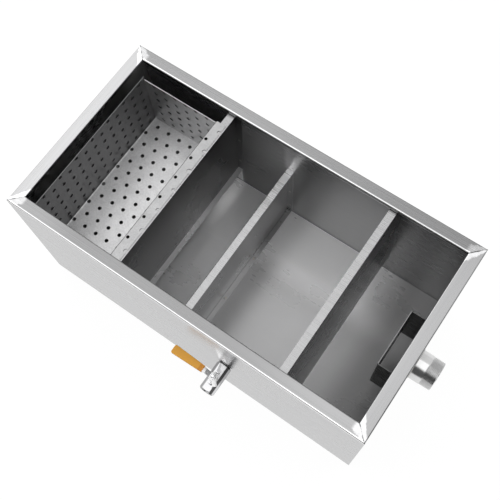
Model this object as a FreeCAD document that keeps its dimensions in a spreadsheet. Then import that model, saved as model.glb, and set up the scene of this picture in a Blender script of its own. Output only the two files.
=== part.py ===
"""Stainless steel grease trap for a kitchen drain.

An open box of welded sheet panels with an inward rim, three baffles, a hanging
perforated basket, an outlet pipe behind a hood and a quarter-turn draw-off valve.

The origin is the middle of the box's underside. +X points to the outlet, +Y to the
back wall and +Z up. All sizes are millimetres.
"""
import FreeCAD, Part, Sketcher
import math
import os

Vector = FreeCAD.Vector

DRIVING_SIZES = [
    ("tank_length", 620, "outside length of the box"),
    ("tank_width", 324, "outside width of the box"),
    ("tank_height", 285, "height from the underside to the rim"),
    ("tank_sheet", 1.2, "thickness of the box sheet"),
    ("rim_width", 20, "width of the inward rim"),
    ("rim_lip", 7, "depth of the rim's turned-down lip"),
    ("rim_fold_radius", 2, "outer radius of the rim's folds"),
    ("mitre_gap", 0.4, "gap between two rims at a mitre"),
    ("baffle_sheet", 1.2, "thickness of the baffle sheet"),
    ("baffle_flange", 13, "width of a baffle's top flange"),
    ("baffle_foot", 10, "width of a baffle's bottom flange"),
    ("baffle_tab", 12, "width of a baffle's side tabs"),
    ("baffle_drop", 2.5, "gap between the rim's lip and a tall baffle"),
    ("tab_corner_cut", 4, "gap between a side tab and the flanges"),
    ("inlet_chamber", 185, "from the inlet wall's outside to the inlet baffle's web"),
    ("inlet_baffle_gap", 50, "opening under the inlet baffle"),
    ("inlet_baffle_lean", 11, "lean of the inlet baffle towards the inlet"),
    ("grease_chamber", 96.5, "from the inlet baffle's web to the weir's web"),
    ("weir_height", 163, "height of the weir above the underside"),
    ("outlet_chamber", 134, "from the outlet baffle's web to the outlet wall's outside"),
    ("outlet_baffle_gap", 58, "opening under the outlet baffle"),
    ("outlet_baffle_lean", 4, "lean of the outlet baffle towards the outlet"),
    ("basket_sheet", 1, "thickness of the perforated sheet"),
    ("basket_length", 143.3, "outside length of the basket along the box"),
    ("basket_depth", 123, "outside depth of the basket"),
    ("basket_front_gap", 20.8, "from the front wall's outside to the basket's front"),
    ("basket_back_gap", 40.7, "from the basket's back to the back wall's outside"),
    ("basket_fold_radius", 3, "outer radius of the basket's folds"),
    ("basket_end_drop", 6, "how much lower the basket's end plates stop"),
    ("hook_setback", 2.4, "how far the hook stops short of the flange's edge"),
    ("basket_clearance", 6.2, "gap between the basket and the inlet baffle"),
    ("hole_pitch", 22.2, "distance between neighbouring holes of the basket's pan"),
    ("end_hole_pitch", 20.5, "distance between neighbouring holes of its end plates"),
    ("hole_size", 6.5, "diameter of the basket holes"),
    ("hole_edge", 2.5, "least width of metal between a hole and an edge"),
    ("ledge_sheet", 1.5, "thickness of the ledge under the basket"),
    ("ledge_grip", 14, "length of basket that lies on the ledge"),
    ("ledge_upstand", 18, "height of the ledge's welded leg"),
    ("ledge_length", 200, "length of the ledge across the box"),
    ("hood_sheet", 1.5, "thickness of the outlet hood sheet"),
    ("hood_depth", 43, "depth of the hood from the outlet wall"),
    ("hood_width", 95, "width of the hood"),
    ("hood_height", 118, "height of the hood"),
    ("hood_fold_radius", 2.5, "outer radius of the hood's folds"),
    ("pipe_height", 162, "height of the outlet pipe's axis"),
    ("pipe_size", 48.3, "outside diameter of the outlet pipe"),
    ("pipe_wall", 3, "wall of the outlet pipe"),
    ("pipe_reach", 38, "how far the outlet pipe stands out of the box"),
    ("pipe_thread_size", 47.8, "outside diameter of the outlet pipe's thread"),
    ("pipe_thread_length", 19, "length of the outlet pipe's thread"),
    ("valve_place", 234, "from the outlet wall's outside to the draw-off valve"),
    ("valve_height", 153, "height of the draw-off valve's axis"),
    ("valve_standoff", 0.6, "gap between the box and the valve body"),
    ("valve_length", 48.9, "length of the valve body"),
    ("valve_flats", 22, "width across the valve body's flats"),
    ("valve_end_bevel", 1.6, "length of the bevel on the valve body's corners"),
    ("thread_bore", 15, "bore of the valve's threaded ends"),
    ("nipple_size", 16.6, "outside diameter of the nipple"),
    ("nipple_bore", 11, "bore of the nipple"),
    ("nipple_screw_in", 10.9, "length of nipple inside the valve"),
    ("port_size", 9, "bore through the ball and the valve's port"),
    ("stem_place", 26.9, "distance from the valve body's wall end to the stem"),
    ("ball_size", 14.4, "diameter of the ball"),
    ("ball_clearance", 0.1, "gap between the ball and its seats"),
    ("seat_bore", 9.6, "bore of the ball seats"),
    ("seat_thickness", 4, "thickness of the ball seats"),
    ("insert_thickness", 5, "thickness of the screwed insert"),
    ("insert_socket", 11, "width across the insert's key socket"),
    ("stem_size", 6, "diameter of the stem"),
    ("stem_clearance", 0.05, "gap all round the stem"),
    ("tang_width", 2.5, "thickness of the stem's tang"),
    ("tang_depth", 2, "depth of the tang in the ball"),
    ("boss_size", 12.4, "diameter of the stem boss"),
    ("boss_height", 15.5, "height of the stem boss above the valve's axis"),
    ("packing_size", 9.4, "diameter of the packing chamber"),
    ("packing_height", 3.5, "height of the stem packing"),
    ("gland_height", 5.5, "height of the gland nut's hexagon"),
    ("gland_flats", 11, "width across the gland nut's flats"),
    ("lever_plane", 22.5, "height of the lever's hub above the valve's axis"),
    ("lever_sheet", 2.2, "thickness of the lever"),
    ("lever_width", 11.8, "width of the lever at its end"),
    ("lever_root_width", 7.8, "width of the lever at its first bend"),
    ("hub_size", 14, "diameter of the lever's hub"),
    ("ear_reach", 15, "reach of the lever's stop ear"),
    ("ear_width", 7, "width of the lever's stop ear"),
    ("stop_clearance", 0.3, "gap between the ear and a stop post"),
    ("stop_reach", 11, "distance from the stem to a stop post's far side"),
    ("stop_depth", 2.6, "thickness of a stop post along the valve"),
    ("crank_start", 5.2, "distance from the stem to the lever's first bend"),
    ("crank_end", 12.5, "distance from the stem to the lever's second bend"),
    ("crank_rise", 8.5, "rise of the lever between its bends"),
    ("lever_reach", 69.5, "distance from the stem to the lever's end"),
    ("lever_nut_flats", 8, "width across the lever nut's flats"),
    ("lever_nut_height", 4, "height of the lever nut"),
    ("washer_size", 9.5, "diameter of the lever washer"),
    ("washer_thickness", 1, "thickness of the lever washer"),
    ("stem_tip", 1.2, "length of stem above the lever nut"),
    ("grip_wall", 1.2, "wall of the grip sleeve"),
    ("grip_start", 17, "distance from the stem to the grip sleeve"),
    ("grip_end_wall", 3, "thickness of the grip sleeve's closed end"),
]

HEX_CORNER = 2 / math.sqrt(3)
HOLE_SIDES = 6

doc = FreeCAD.newDocument("GreaseTrap")
sheet = doc.addObject("Spreadsheet::Sheet", "Sizes")


class Size:
    """A length that keeps its value and the spreadsheet expression it comes from."""

    def __init__(self, value, text):
        self.value = float(value)
        self.text = text

    @staticmethod
    def of(other):
        return other if isinstance(other, Size) else Size(other, repr(float(other)))

    def join(self, other, sign, value):
        return Size(value, "(%s %s %s)" % (self.text, sign, other.text))

    def __add__(self, other):
        other = Size.of(other)
        return self.join(other, "+", self.value + other.value)

    def __sub__(self, other):
        other = Size.of(other)
        return self.join(other, "-", self.value - other.value)

    def __mul__(self, other):
        other = Size.of(other)
        return self.join(other, "*", self.value * other.value)

    def __truediv__(self, other):
        other = Size.of(other)
        return self.join(other, "/", self.value / other.value)

    def __neg__(self):
        return Size(0, "0") - self

    def __radd__(self, other):
        return Size.of(other) + self

    def __rsub__(self, other):
        return Size.of(other) - self

    def __rmul__(self, other):
        return Size.of(other) * self


class SizeTable:
    """Gives each driving size of the spreadsheet by its alias."""

    def fill(self):
        for row, (alias, value, note) in enumerate(DRIVING_SIZES, 1):
            sheet.set("A%d" % row, alias)
            sheet.set("B%d" % row, str(value))
            sheet.set("C%d" % row, note)
            sheet.setAlias("B%d" % row, alias)
        doc.recompute()

    def __getattr__(self, alias):
        return Size(sheet.get(alias), "Sizes.%s" % alias)


s = SizeTable()
s.fill()
ZERO = Size(0, "0")


# Helpers for features whose sizes follow the spreadsheet

def bind(obj, prop, size):
    """Set a property from a size, as a value and as an expression."""
    obj.setExpression(prop, Size.of(size).text)


def new_body(name):
    body = doc.addObject("PartDesign::Body", name)
    body.Label = name
    return body


def place(obj, x=ZERO, y=ZERO, z=ZERO, rotation=None):
    """Put an object at a point, turned by a fixed rotation."""
    if rotation is not None:
        obj.Placement = FreeCAD.Placement(Vector(0, 0, 0), rotation)
    for axis, size in (("x", x), ("y", y), ("z", z)):
        bind(obj, "Placement.Base." + axis, size)


def sketch_on(body, name, role, lift=None):
    """Open a sketch on one of the body's own planes, lifted along its normal."""
    sketch = body.newObject("Sketcher::SketchObject", name)
    plane = next(f for f in body.Origin.OriginFeatures if f.Role == role)
    sketch.AttachmentSupport = (plane, [""])
    sketch.MapMode = "FlatFace"
    if lift is not None:
        bind(sketch, "AttachmentOffset.Base.z", lift)
    return sketch


def fix(sketch, kind, where, size):
    """Hold a point of the sketch at a signed distance from its origin."""
    size = Size.of(size)
    geometry, point = where
    index = sketch.addConstraint(
        Sketcher.Constraint(kind, -1, 1, geometry, point, size.value))
    sketch.setExpression("Constraints[%d]" % index, size.text)


def add_polygon(sketch, corners):
    """Draw a closed outline through corners given as pairs of sizes."""
    points = [(Size.of(a), Size.of(b)) for a, b in corners]
    first = sketch.GeometryCount
    count = len(points)
    for i, (a, b) in enumerate(points):
        c, d = points[(i + 1) % count]
        sketch.addGeometry(Part.LineSegment(Vector(a.value, b.value, 0),
                                            Vector(c.value, d.value, 0)))
    for i in range(count):
        following = first + (i + 1) % count
        sketch.addConstraint(Sketcher.Constraint("Coincident", first + i, 2, following, 1))
    for i, (a, b) in enumerate(points):
        fix(sketch, "DistanceX", (first + i, 1), a)
        fix(sketch, "DistanceY", (first + i, 1), b)


def add_circle(sketch, a, b, radius):
    """Draw a circle with its centre and radius given as sizes."""
    a, b, radius = Size.of(a), Size.of(b), Size.of(radius)
    index = sketch.addGeometry(
        Part.Circle(Vector(a.value, b.value, 0), Vector(0, 0, 1), radius.value))
    fix(sketch, "DistanceX", (index, 3), a)
    fix(sketch, "DistanceY", (index, 3), b)
    held = sketch.addConstraint(Sketcher.Constraint("Radius", index, radius.value))
    sketch.setExpression("Constraints[%d]" % held, radius.text)


def add_rectangle(sketch, a0, a1, b0, b1):
    add_polygon(sketch, [(a0, b0), (a1, b0), (a1, b1), (a0, b1)])


def add_hexagon(sketch, a, b, flats):
    """Draw a hexagon with two flats square to the sketch's second axis."""
    corner = flats * (HEX_CORNER / 2)
    add_polygon(sketch, [(a + corner, b), (a + corner / 2, b + flats / 2),
                         (a - corner / 2, b + flats / 2), (a - corner, b),
                         (a - corner / 2, b - flats / 2), (a + corner / 2, b - flats / 2)])


def extrude(body, kind, name, sketch, length, both_ways=False, backwards=False):
    """Pad or pocket a sketch."""
    feature = body.newObject("PartDesign::" + kind, name)
    feature.Profile = sketch
    feature.SideType = "Symmetric" if both_ways else "One side"
    feature.Reversed = backwards
    bind(feature, "Length", length)
    doc.recompute()
    return feature


def turn(body, kind, name, sketch):
    """Revolve or groove a sketch all round its vertical axis."""
    feature = body.newObject("PartDesign::" + kind, name)
    feature.Profile = sketch
    feature.ReferenceAxis = (sketch, ["V_Axis"])
    feature.Angle = 360
    doc.recompute()
    return feature


def round_edges(body, name, radius, wanted):
    """Fillet the edges of the body's last feature whose middle point is wanted."""
    base = body.Tip
    chosen = []
    for index, edge in enumerate(base.Shape.Edges, 1):
        middle = edge.valueAt((edge.FirstParameter + edge.LastParameter) / 2)
        if wanted(edge, middle):
            chosen.append("Edge%d" % index)
    if not chosen:
        raise RuntimeError("no edge to round in " + name)
    fillet = body.newObject("PartDesign::Fillet", name)
    fillet.Base = (base, chosen)
    bind(fillet, "Radius", radius)
    doc.recompute()
    return fillet


def near(value, size):
    return abs(value - Size.of(size).value) < 0.01


def runs_along(edge, axis):
    """Tell whether an edge is straight and lies along an axis (0, 1 or 2)."""
    ends = [v.Point for v in edge.Vertexes]
    if len(ends) != 2:
        return False
    span = ends[1] - ends[0]
    return abs(span[axis]) > 0.999 * span.Length


HALF_LENGTH = s.tank_length / 2
HALF_WIDTH = s.tank_width / 2
INNER_X = HALF_LENGTH - s.tank_sheet
INNER_Y = HALF_WIDTH - s.tank_sheet
LIP_BOTTOM = s.tank_height - s.rim_lip
BAFFLE_TOP = LIP_BOTTOM - s.baffle_drop
INLET_BAFFLE_X = s.inlet_chamber - HALF_LENGTH
WEIR_X = INLET_BAFFLE_X + s.grease_chamber
OUTLET_BAFFLE_X = HALF_LENGTH - s.outlet_chamber
VALVE_X = HALF_LENGTH - s.valve_place


# Box

def make_floor():
    """A flat plate between the four wall panels, flush with their lower edges."""
    floor = doc.addObject("Part::Box", "floor_plate")
    floor.Label = "floor_plate"
    bind(floor, "Length", INNER_X * 2)
    bind(floor, "Width", INNER_Y * 2)
    bind(floor, "Height", s.tank_sheet)
    place(floor, -INNER_X, -INNER_Y)


def rim_profile(sketch, wall, side):
    """Wall, inward rim and turned-down lip as one folded section.

    wall is the outer face's distance from the middle and side is its sign.
    """
    t = s.tank_sheet
    edge = wall - s.rim_width
    outline = [(wall, ZERO), (wall, s.tank_height), (edge, s.tank_height),
               (edge, LIP_BOTTOM), (edge + t, LIP_BOTTOM), (edge + t, s.tank_height - t),
               (wall - t, s.tank_height - t), (wall - t, ZERO)]
    add_polygon(sketch, [(across * side, up) for across, up in outline])


def round_rim(body, wall, side, along, across):
    """Round the rim's two folds inside and outside by the same sheet thickness."""
    t = s.tank_sheet
    edge = wall - s.rim_width

    def outer(edge_line, middle):
        place_ok = near(middle[across], wall * side) or near(middle[across], edge * side)
        return runs_along(edge_line, along) and place_ok and near(middle[2], s.tank_height)

    def inner(edge_line, middle):
        low = (wall - t) * side
        high = (edge + t) * side
        place_ok = near(middle[across], low) or near(middle[across], high)
        return runs_along(edge_line, along) and place_ok and near(middle[2], s.tank_height - t)

    round_edges(body, body.Name + "_outer_folds", s.rim_fold_radius, outer)
    round_edges(body, body.Name + "_inner_folds", s.rim_fold_radius - t, inner)


def mitre_depth():
    return s.rim_lip + s.rim_fold_radius


def make_long_panel(name, side):
    """A front or back wall with its rim, mitred at both ends."""
    body = new_body(name)
    profile = sketch_on(body, name + "_section", "YZ_Plane")
    rim_profile(profile, HALF_WIDTH, side)
    extrude(body, "Pad", name + "_fold", profile, s.tank_length, both_ways=True)
    round_rim(body, HALF_WIDTH, side, 0, 1)
    mitre = sketch_on(body, name + "_mitre", "XY_Plane", s.tank_height + 1)
    start = HALF_LENGTH - s.tank_sheet - s.mitre_gap / 2
    reach = s.rim_width + 1
    for end in (-1, 1):
        corners = [(HALF_LENGTH + 1, INNER_Y), (start, INNER_Y),
                   (start - reach, INNER_Y - reach), (HALF_LENGTH + 1, INNER_Y - reach)]
        add_polygon(mitre, [(x * end, y * side) for x, y in corners])
    extrude(body, "Pocket", name + "_mitre_cut", mitre, mitre_depth() + 1)


def make_end_panel(name, side, pipe_hole):
    """An inlet or outlet wall between the long walls, with its mitred rim."""
    body = new_body(name)
    profile = sketch_on(body, name + "_section", "XZ_Plane")
    rim_profile(profile, HALF_LENGTH, side)
    extrude(body, "Pad", name + "_fold", profile, INNER_Y * 2, both_ways=True)
    round_rim(body, HALF_LENGTH, side, 1, 0)
    mitre = sketch_on(body, name + "_mitre", "XY_Plane", s.tank_height + 1)
    start = HALF_WIDTH - s.mitre_gap / 2
    reach = s.rim_width + 1
    for end in (-1, 1):
        corners = [(HALF_LENGTH, start), (HALF_LENGTH - reach, start - reach),
                   (HALF_LENGTH - reach, HALF_WIDTH + 1), (HALF_LENGTH, HALF_WIDTH + 1)]
        add_polygon(mitre, [(x * side, y * end) for x, y in corners])
    extrude(body, "Pocket", name + "_mitre_cut", mitre, mitre_depth() + 1)
    if pipe_hole:
        hole = sketch_on(body, name + "_hole", "YZ_Plane")
        add_circle(hole, ZERO, s.pipe_height, s.pipe_size / 2)
        extrude(body, "Pocket", name + "_pipe_hole", hole, s.tank_length, backwards=True)


def pierce_front_panel():
    """Cut the hole for the draw-off valve's nipple in the front wall."""
    body = doc.getObject("front_panel")
    hole = sketch_on(body, "front_panel_hole", "XZ_Plane")
    add_circle(hole, VALVE_X, s.valve_height, s.nipple_size / 2)
    extrude(body, "Pocket", "front_panel_nipple_hole", hole, s.tank_width, backwards=True)


# Baffles

def make_baffle(name, web_x, turn_to, top, bottom, lean):
    """A baffle folded from one sheet: web, top and bottom flanges and side tabs.

    web_x is the face of the web that the flanges grow from, turn_to is the side they
    point to and lean is how far the web's foot stands off from its top along X.
    """
    t = s.baffle_sheet
    foot_x = web_x + lean
    body = new_body(name)
    profile = sketch_on(body, name + "_section", "XZ_Plane")
    add_polygon(profile, [
        (web_x, top), (web_x + s.baffle_flange * turn_to, top),
        (web_x + s.baffle_flange * turn_to, top - t), (web_x + t * turn_to, top - t),
        (foot_x + t * turn_to, bottom + t), (foot_x + s.baffle_foot * turn_to, bottom + t),
        (foot_x + s.baffle_foot * turn_to, bottom), (foot_x, bottom)])
    extrude(body, "Pad", name + "_fold", profile, INNER_Y * 2, both_ways=True)

    def slope_x(height):
        """Place of the web's face at a height, along its lean."""
        return web_x + lean * ((top - height) / (top - bottom))

    high = top - t - s.tab_corner_cut
    low = bottom + t + s.tab_corner_cut
    for end, word in ((-1, "front"), (1, "back")):
        lift = INNER_Y if end < 0 else -(INNER_Y - t)
        tab = sketch_on(body, "%s_%s_tab" % (name, word), "XZ_Plane", lift)
        add_polygon(tab, [(slope_x(low), low), (slope_x(low) + s.baffle_tab * turn_to, low),
                          (slope_x(high) + s.baffle_tab * turn_to, high),
                          (slope_x(high), high)])
        extrude(body, "Pad", "%s_%s_tab_fold" % (name, word), tab, t, backwards=True)

    def fold(edge, middle):
        top_fold = near(middle[0], web_x) and near(middle[2], top)
        foot_fold = near(middle[0], foot_x) and near(middle[2], bottom)
        return runs_along(edge, 1) and (top_fold or foot_fold)

    round_edges(body, name + "_outer_folds", t, fold)


# Basket

BASKET_RIGHT = INLET_BAFFLE_X - s.basket_clearance
BASKET_LEFT = BASKET_RIGHT - s.basket_length
BASKET_TOP = BAFFLE_TOP + s.basket_sheet
BASKET_BOTTOM = BASKET_TOP - s.basket_depth
BASKET_FRONT = s.basket_front_gap - HALF_WIDTH
BASKET_BACK = HALF_WIDTH - s.basket_back_gap
HOOK_END = INLET_BAFFLE_X + s.baffle_flange - s.hook_setback


def round_corner(first, second, radius):
    """Replace the corner between two lines by an arc that touches both."""
    start = first.Vertexes[0].Point
    corner = first.Vertexes[1].Point
    end = second.Vertexes[1].Point
    back = (start - corner).normalize()
    ahead = (end - corner).normalize()
    half_angle = back.getAngle(ahead) / 2
    setback = radius / math.tan(half_angle)
    middle_way = (back + ahead).normalize()
    centre = corner + middle_way * (radius / math.sin(half_angle))
    a = corner + back * setback
    b = corner + ahead * setback
    arc = Part.Arc(a, centre - middle_way * radius, b).toShape()
    return [Part.makeLine(start, a), arc, Part.makeLine(b, end)]


def rounded_line(points, radii):
    """An open line through (x, z) points with an arc at each inner corner."""
    corners = [Vector(x, 0, z) for x, z in points]
    edges = [Part.makeLine(a, b) for a, b in zip(corners, corners[1:])]
    path = [edges[0]]
    for edge, radius in zip(edges[1:], radii):
        path[-1:] = round_corner(path[-1], edge, radius)
    return path


def pan_section():
    """Section of the pan's folded sheet, drawn as its outer and its inner line.

    The last fold turns the other way, so its outer line has the smaller radius.
    """
    t = s.basket_sheet.value
    left, right = BASKET_LEFT.value, BASKET_RIGHT.value
    top, bottom = BASKET_TOP.value, BASKET_BOTTOM.value
    hook = HOOK_END.value
    big = s.basket_fold_radius.value
    small = big - t
    outer = [(left, top), (left, bottom), (right, bottom), (right, top - t), (hook, top - t)]
    inner = [(left + t, top), (left + t, bottom + t), (right - t, bottom + t),
             (right - t, top), (hook, top)]
    loop = rounded_line(outer, (big, big, small)) + rounded_line(inner, (small, small, big))
    for a, b in ((outer[0], inner[0]), (outer[-1], inner[-1])):
        loop.append(Part.makeLine(Vector(a[0], 0, a[1]), Vector(b[0], 0, b[1])))
    return Part.Face(Part.Wire(Part.__sortEdges__(loop)))


def steps(low, high, start, pitch):
    """Places at start plus whole pitches that lie between low and high."""
    first = math.ceil((low - start) / pitch)
    last = math.floor((high - start) / pitch)
    return [start + k * pitch for k in range(first, last + 1)]


def pan_holes(low, high, start):
    """Centres (along, y) of the pan's staggered holes in one of its flat runs.

    The pattern's rows run along the sheet and lie symmetric about its middle; every
    second row is shifted by half a pitch.
    """
    pitch = s.hole_pitch.value
    row_step = pitch * math.sqrt(3) / 2
    middle = (BASKET_BACK.value + BASKET_FRONT.value) / 2
    reach = (BASKET_BACK - BASKET_FRONT).value / 2 - s.hole_size.value / 2 - s.hole_edge.value
    rows = int(reach / row_step)
    centres = []
    for row in range(-rows, rows + 1):
        shift = pitch / 2 if row % 2 else 0
        centres += [(place_along, middle + row * row_step)
                    for place_along in steps(low, high, start + shift, pitch)]
    return centres


def hole_tools(centres, to_point, axis, thickness):
    """Prisms that cut the holes: each stands on to_point(a, b) and runs along axis."""
    radius = s.hole_size.value / 2
    tools = []
    for a, b in centres:
        start = to_point(a, b) - axis * thickness
        ring = Part.makeCircle(radius, start, axis).discretize(HOLE_SIDES + 1)
        face = Part.Face(Part.makePolygon(ring))
        tools.append(face.extrude(axis * (3 * thickness)))
    return tools


def make_basket_pan():
    """The basket's folded sheet: inlet side, bottom, baffle side and hook."""
    t = s.basket_sheet.value
    left, right = BASKET_LEFT.value, BASKET_RIGHT.value
    top, bottom = BASKET_TOP.value, BASKET_BOTTOM.value
    hook = HOOK_END.value
    pan = pan_section().extrude(Vector(0, (BASKET_BACK - BASKET_FRONT).value, 0))
    pan.translate(Vector(0, BASKET_FRONT.value, 0))
    radius = s.hole_size.value / 2
    fold = s.basket_fold_radius.value
    rim = radius + s.hole_edge.value
    pitch = s.hole_pitch.value
    walls = pan_holes(bottom + fold + radius, top - rim, bottom + 0.42 * pitch)
    floor = pan_holes(left + fold + radius, right - fold - radius, right - 2.67 * pitch)
    hooks = pan_holes(right + radius, hook, hook - 0.09 * pitch)
    x_axis, z_axis = Vector(1, 0, 0), Vector(0, 0, 1)
    tools = hole_tools(walls, lambda a, b: Vector(left, b, a), x_axis, t)
    tools += hole_tools(walls, lambda a, b: Vector(right - t, b, a), x_axis, t)
    tools += hole_tools(floor, lambda a, b: Vector(a, b, bottom), z_axis, t)
    tools += hole_tools(hooks, lambda a, b: Vector(a, b, top - t), z_axis, t)
    add_shape("basket_pan", pan.cut(Part.makeCompound(tools)))


def make_basket_end(name, side):
    """A flat perforated plate that closes one end of the pan, inside its folds."""
    t = s.basket_sheet.value
    left, right = BASKET_LEFT.value + t, BASKET_RIGHT.value - t
    top, bottom = BASKET_TOP.value - s.basket_end_drop.value, BASKET_BOTTOM.value + t
    start = BASKET_BACK.value - t if side > 0 else BASKET_FRONT.value
    plate = Part.makeBox(right - left, t, top - bottom, Vector(left, start, bottom))
    lower = [e for e in plate.Edges if abs(e.CenterOfMass.z - bottom) < 0.01
             and runs_along(e, 1)]
    plate = plate.makeFillet(s.basket_fold_radius.value - t, lower)
    pitch = s.end_hole_pitch.value
    margin = s.hole_size.value / 2 + s.hole_edge.value
    centres = [(x, z) for x in steps(left + margin, right - margin, left + pitch * 0.95, pitch)
               for z in steps(bottom + margin, top, bottom + pitch / 2, pitch)]
    tools = hole_tools(centres, lambda a, b: Vector(a, start, b), Vector(0, 1, 0), t)
    add_shape(name, plate.cut(Part.makeCompound(tools)))


def add_shape(name, shape):
    feature = doc.addObject("Part::Feature", name)
    feature.Label = name
    feature.Shape = shape
    feature.Placement = FreeCAD.Placement()


def make_basket_ledge():
    """An angle on the inlet wall that carries the basket's bottom."""
    t = s.ledge_sheet
    wall = -INNER_X
    tip = BASKET_LEFT + s.ledge_grip
    top = BASKET_BOTTOM
    body = new_body("basket_ledge")
    profile = sketch_on(body, "basket_ledge_section", "XZ_Plane")
    add_polygon(profile, [(wall, top), (tip, top), (tip, top - t), (wall + t, top - t),
                          (wall + t, top - s.ledge_upstand), (wall, top - s.ledge_upstand)])
    extrude(body, "Pad", "basket_ledge_fold", profile, s.ledge_length, both_ways=True)


# Outlet

def make_hood():
    """A folded channel round the outlet hole, open at its top and bottom."""
    t = s.hood_sheet
    face = INNER_X - s.hood_depth
    half = s.hood_width / 2
    bottom = s.pipe_height - s.hood_height / 2
    body = new_body("outlet_hood")
    outline = sketch_on(body, "outlet_hood_section", "XY_Plane", bottom)
    add_polygon(outline, [(INNER_X, half), (face, half), (face, -half), (INNER_X, -half),
                          (INNER_X, t - half), (face + t, t - half), (face + t, half - t),
                          (INNER_X, half - t)])
    extrude(body, "Pad", "outlet_hood_fold", outline, s.hood_height)

    def outer(edge, middle):
        return runs_along(edge, 2) and near(middle[0], face)

    def inner(edge, middle):
        return runs_along(edge, 2) and near(middle[0], face + t)

    round_edges(body, "outlet_hood_outer_folds", s.hood_fold_radius, outer)
    round_edges(body, "outlet_hood_inner_folds", s.hood_fold_radius - t, inner)


def make_outlet_pipe():
    """The outlet's threaded pipe end, welded into the outlet wall."""
    body = new_body("outlet_pipe")
    outer = s.pipe_size / 2
    thread = s.pipe_thread_size / 2
    bore = outer - s.pipe_wall
    length = s.tank_sheet + s.pipe_reach
    step = length - s.pipe_thread_length
    bevel = s.pipe_wall / 3
    profile = sketch_on(body, "outlet_pipe_section", "XZ_Plane")
    add_polygon(profile, [(bore, ZERO), (outer, ZERO), (outer, step), (thread, step),
                          (thread, length - bevel), (thread - bevel, length),
                          (bore, length)])
    turn(body, "Revolution", "outlet_pipe_turned", profile)
    place(body, INNER_X, ZERO, s.pipe_height, FreeCAD.Rotation(Vector(0, 1, 0), 90))


# Draw-off valve. Its flow pieces are drawn with local +Z pointing out of the front
# wall and local +Y up, and its stem pieces with local +Z up from the flow axis.

FLOW_TURN = FreeCAD.Rotation(Vector(1, 0, 0), 90)
STEM_AT = s.valve_standoff + s.stem_place
BALL_RADIUS = s.ball_size / 2
SEAT_RADIUS = BALL_RADIUS + s.ball_clearance
SEAT_BACK = s.seat_thickness + 4.5
CAVITY_START = STEM_AT - SEAT_BACK
CAVITY_END = STEM_AT + SEAT_BACK
STEM_HOLE = s.stem_size + s.stem_clearance * 2


def place_on_flow(obj):
    place(obj, VALVE_X, -HALF_WIDTH, s.valve_height, FLOW_TURN)


def place_on_stem(obj):
    place(obj, VALVE_X, -HALF_WIDTH - STEM_AT, s.valve_height)


def make_nipple():
    """The short pipe welded through the front wall, which the valve screws onto."""
    body = new_body("valve_nipple")
    profile = sketch_on(body, "valve_nipple_section", "XZ_Plane")
    add_rectangle(profile, s.nipple_bore / 2, s.nipple_size / 2,
                  -s.tank_sheet, s.valve_standoff + s.nipple_screw_in)
    turn(body, "Revolution", "valve_nipple_turned", profile)
    place_on_flow(body)


def make_valve_body():
    """Hexagon bar with a stem boss, two stop posts and a stepped bore."""
    start = s.valve_standoff
    end = start + s.valve_length
    body = new_body("valve_body")
    bar = sketch_on(body, "valve_body_bar", "XY_Plane", start)
    add_hexagon(bar, ZERO, ZERO, s.valve_flats)
    extrude(body, "Pad", "valve_body_hexagon", bar, s.valve_length)

    flat = s.valve_flats / 2
    corner = flat * HEX_CORNER
    bevel = sketch_on(body, "valve_body_bevel_section", "XZ_Plane")
    drop = s.valve_end_bevel
    for edge, inward in ((start, 1), (end, -1)):
        add_polygon(bevel, [(flat - drop / 2, edge), (corner + 1, edge),
                            (corner + 1, edge + drop * 2 * inward)])
    turn(body, "Groove", "valve_body_bevels", bevel)

    boss = sketch_on(body, "valve_body_boss", "XZ_Plane")
    add_circle(boss, ZERO, STEM_AT, s.boss_size / 2)
    extrude(body, "Pad", "valve_body_stem_boss", boss, s.boss_height, backwards=True)
    posts = sketch_on(body, "valve_body_posts", "XZ_Plane", -(flat - 1))
    near_side = s.stop_reach - s.stop_depth
    half = near_side - (s.ear_width / 2 + s.stop_clearance) * math.sqrt(2)
    for side in (-1, 1):
        add_rectangle(posts, -half, half, STEM_AT + near_side * side,
                      STEM_AT + s.stop_reach * side)
    extrude(body, "Pad", "valve_body_stop_posts", posts,
            s.lever_plane + s.lever_sheet * 0.55 - (flat - 1), backwards=True)

    bore = sketch_on(body, "valve_body_bore_section", "XZ_Plane")
    nipple, port, thread = s.nipple_size / 2, s.port_size / 2, s.thread_bore / 2
    screw = s.valve_standoff + s.nipple_screw_in
    insert = s.nipple_size / 2
    add_polygon(bore, [(ZERO, start - 1), (nipple, start - 1), (nipple, screw), (port, screw),
                       (port, CAVITY_START), (thread, CAVITY_START), (thread, CAVITY_END),
                       (insert, CAVITY_END), (insert, CAVITY_END + s.insert_thickness),
                       (thread, CAVITY_END + s.insert_thickness), (thread, end + 1),
                       (ZERO, end + 1)])
    turn(body, "Groove", "valve_body_bore", bore)

    stem = sketch_on(body, "valve_body_stem_hole_section", "XZ_Plane")
    add_circle(stem, ZERO, STEM_AT, STEM_HOLE / 2)
    extrude(body, "Pocket", "valve_body_stem_hole", stem, s.boss_height + 1)
    chamber = sketch_on(body, "valve_body_chamber_section", "XZ_Plane",
                        -(s.boss_height - s.packing_height))
    add_circle(chamber, ZERO, STEM_AT, s.packing_size / 2)
    extrude(body, "Pocket", "valve_body_chamber", chamber, s.packing_height + 1)
    place_on_flow(body)


def make_insert():
    """The screwed ring that holds the outer seat against the ball."""
    body = new_body("valve_insert")
    ring = sketch_on(body, "valve_insert_ring", "XY_Plane", CAVITY_END)
    add_circle(ring, ZERO, ZERO, s.nipple_size / 2)
    add_hexagon(ring, ZERO, ZERO, s.insert_socket)
    extrude(body, "Pad", "valve_insert_turned", ring, s.insert_thickness)
    place_on_flow(body)


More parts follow.
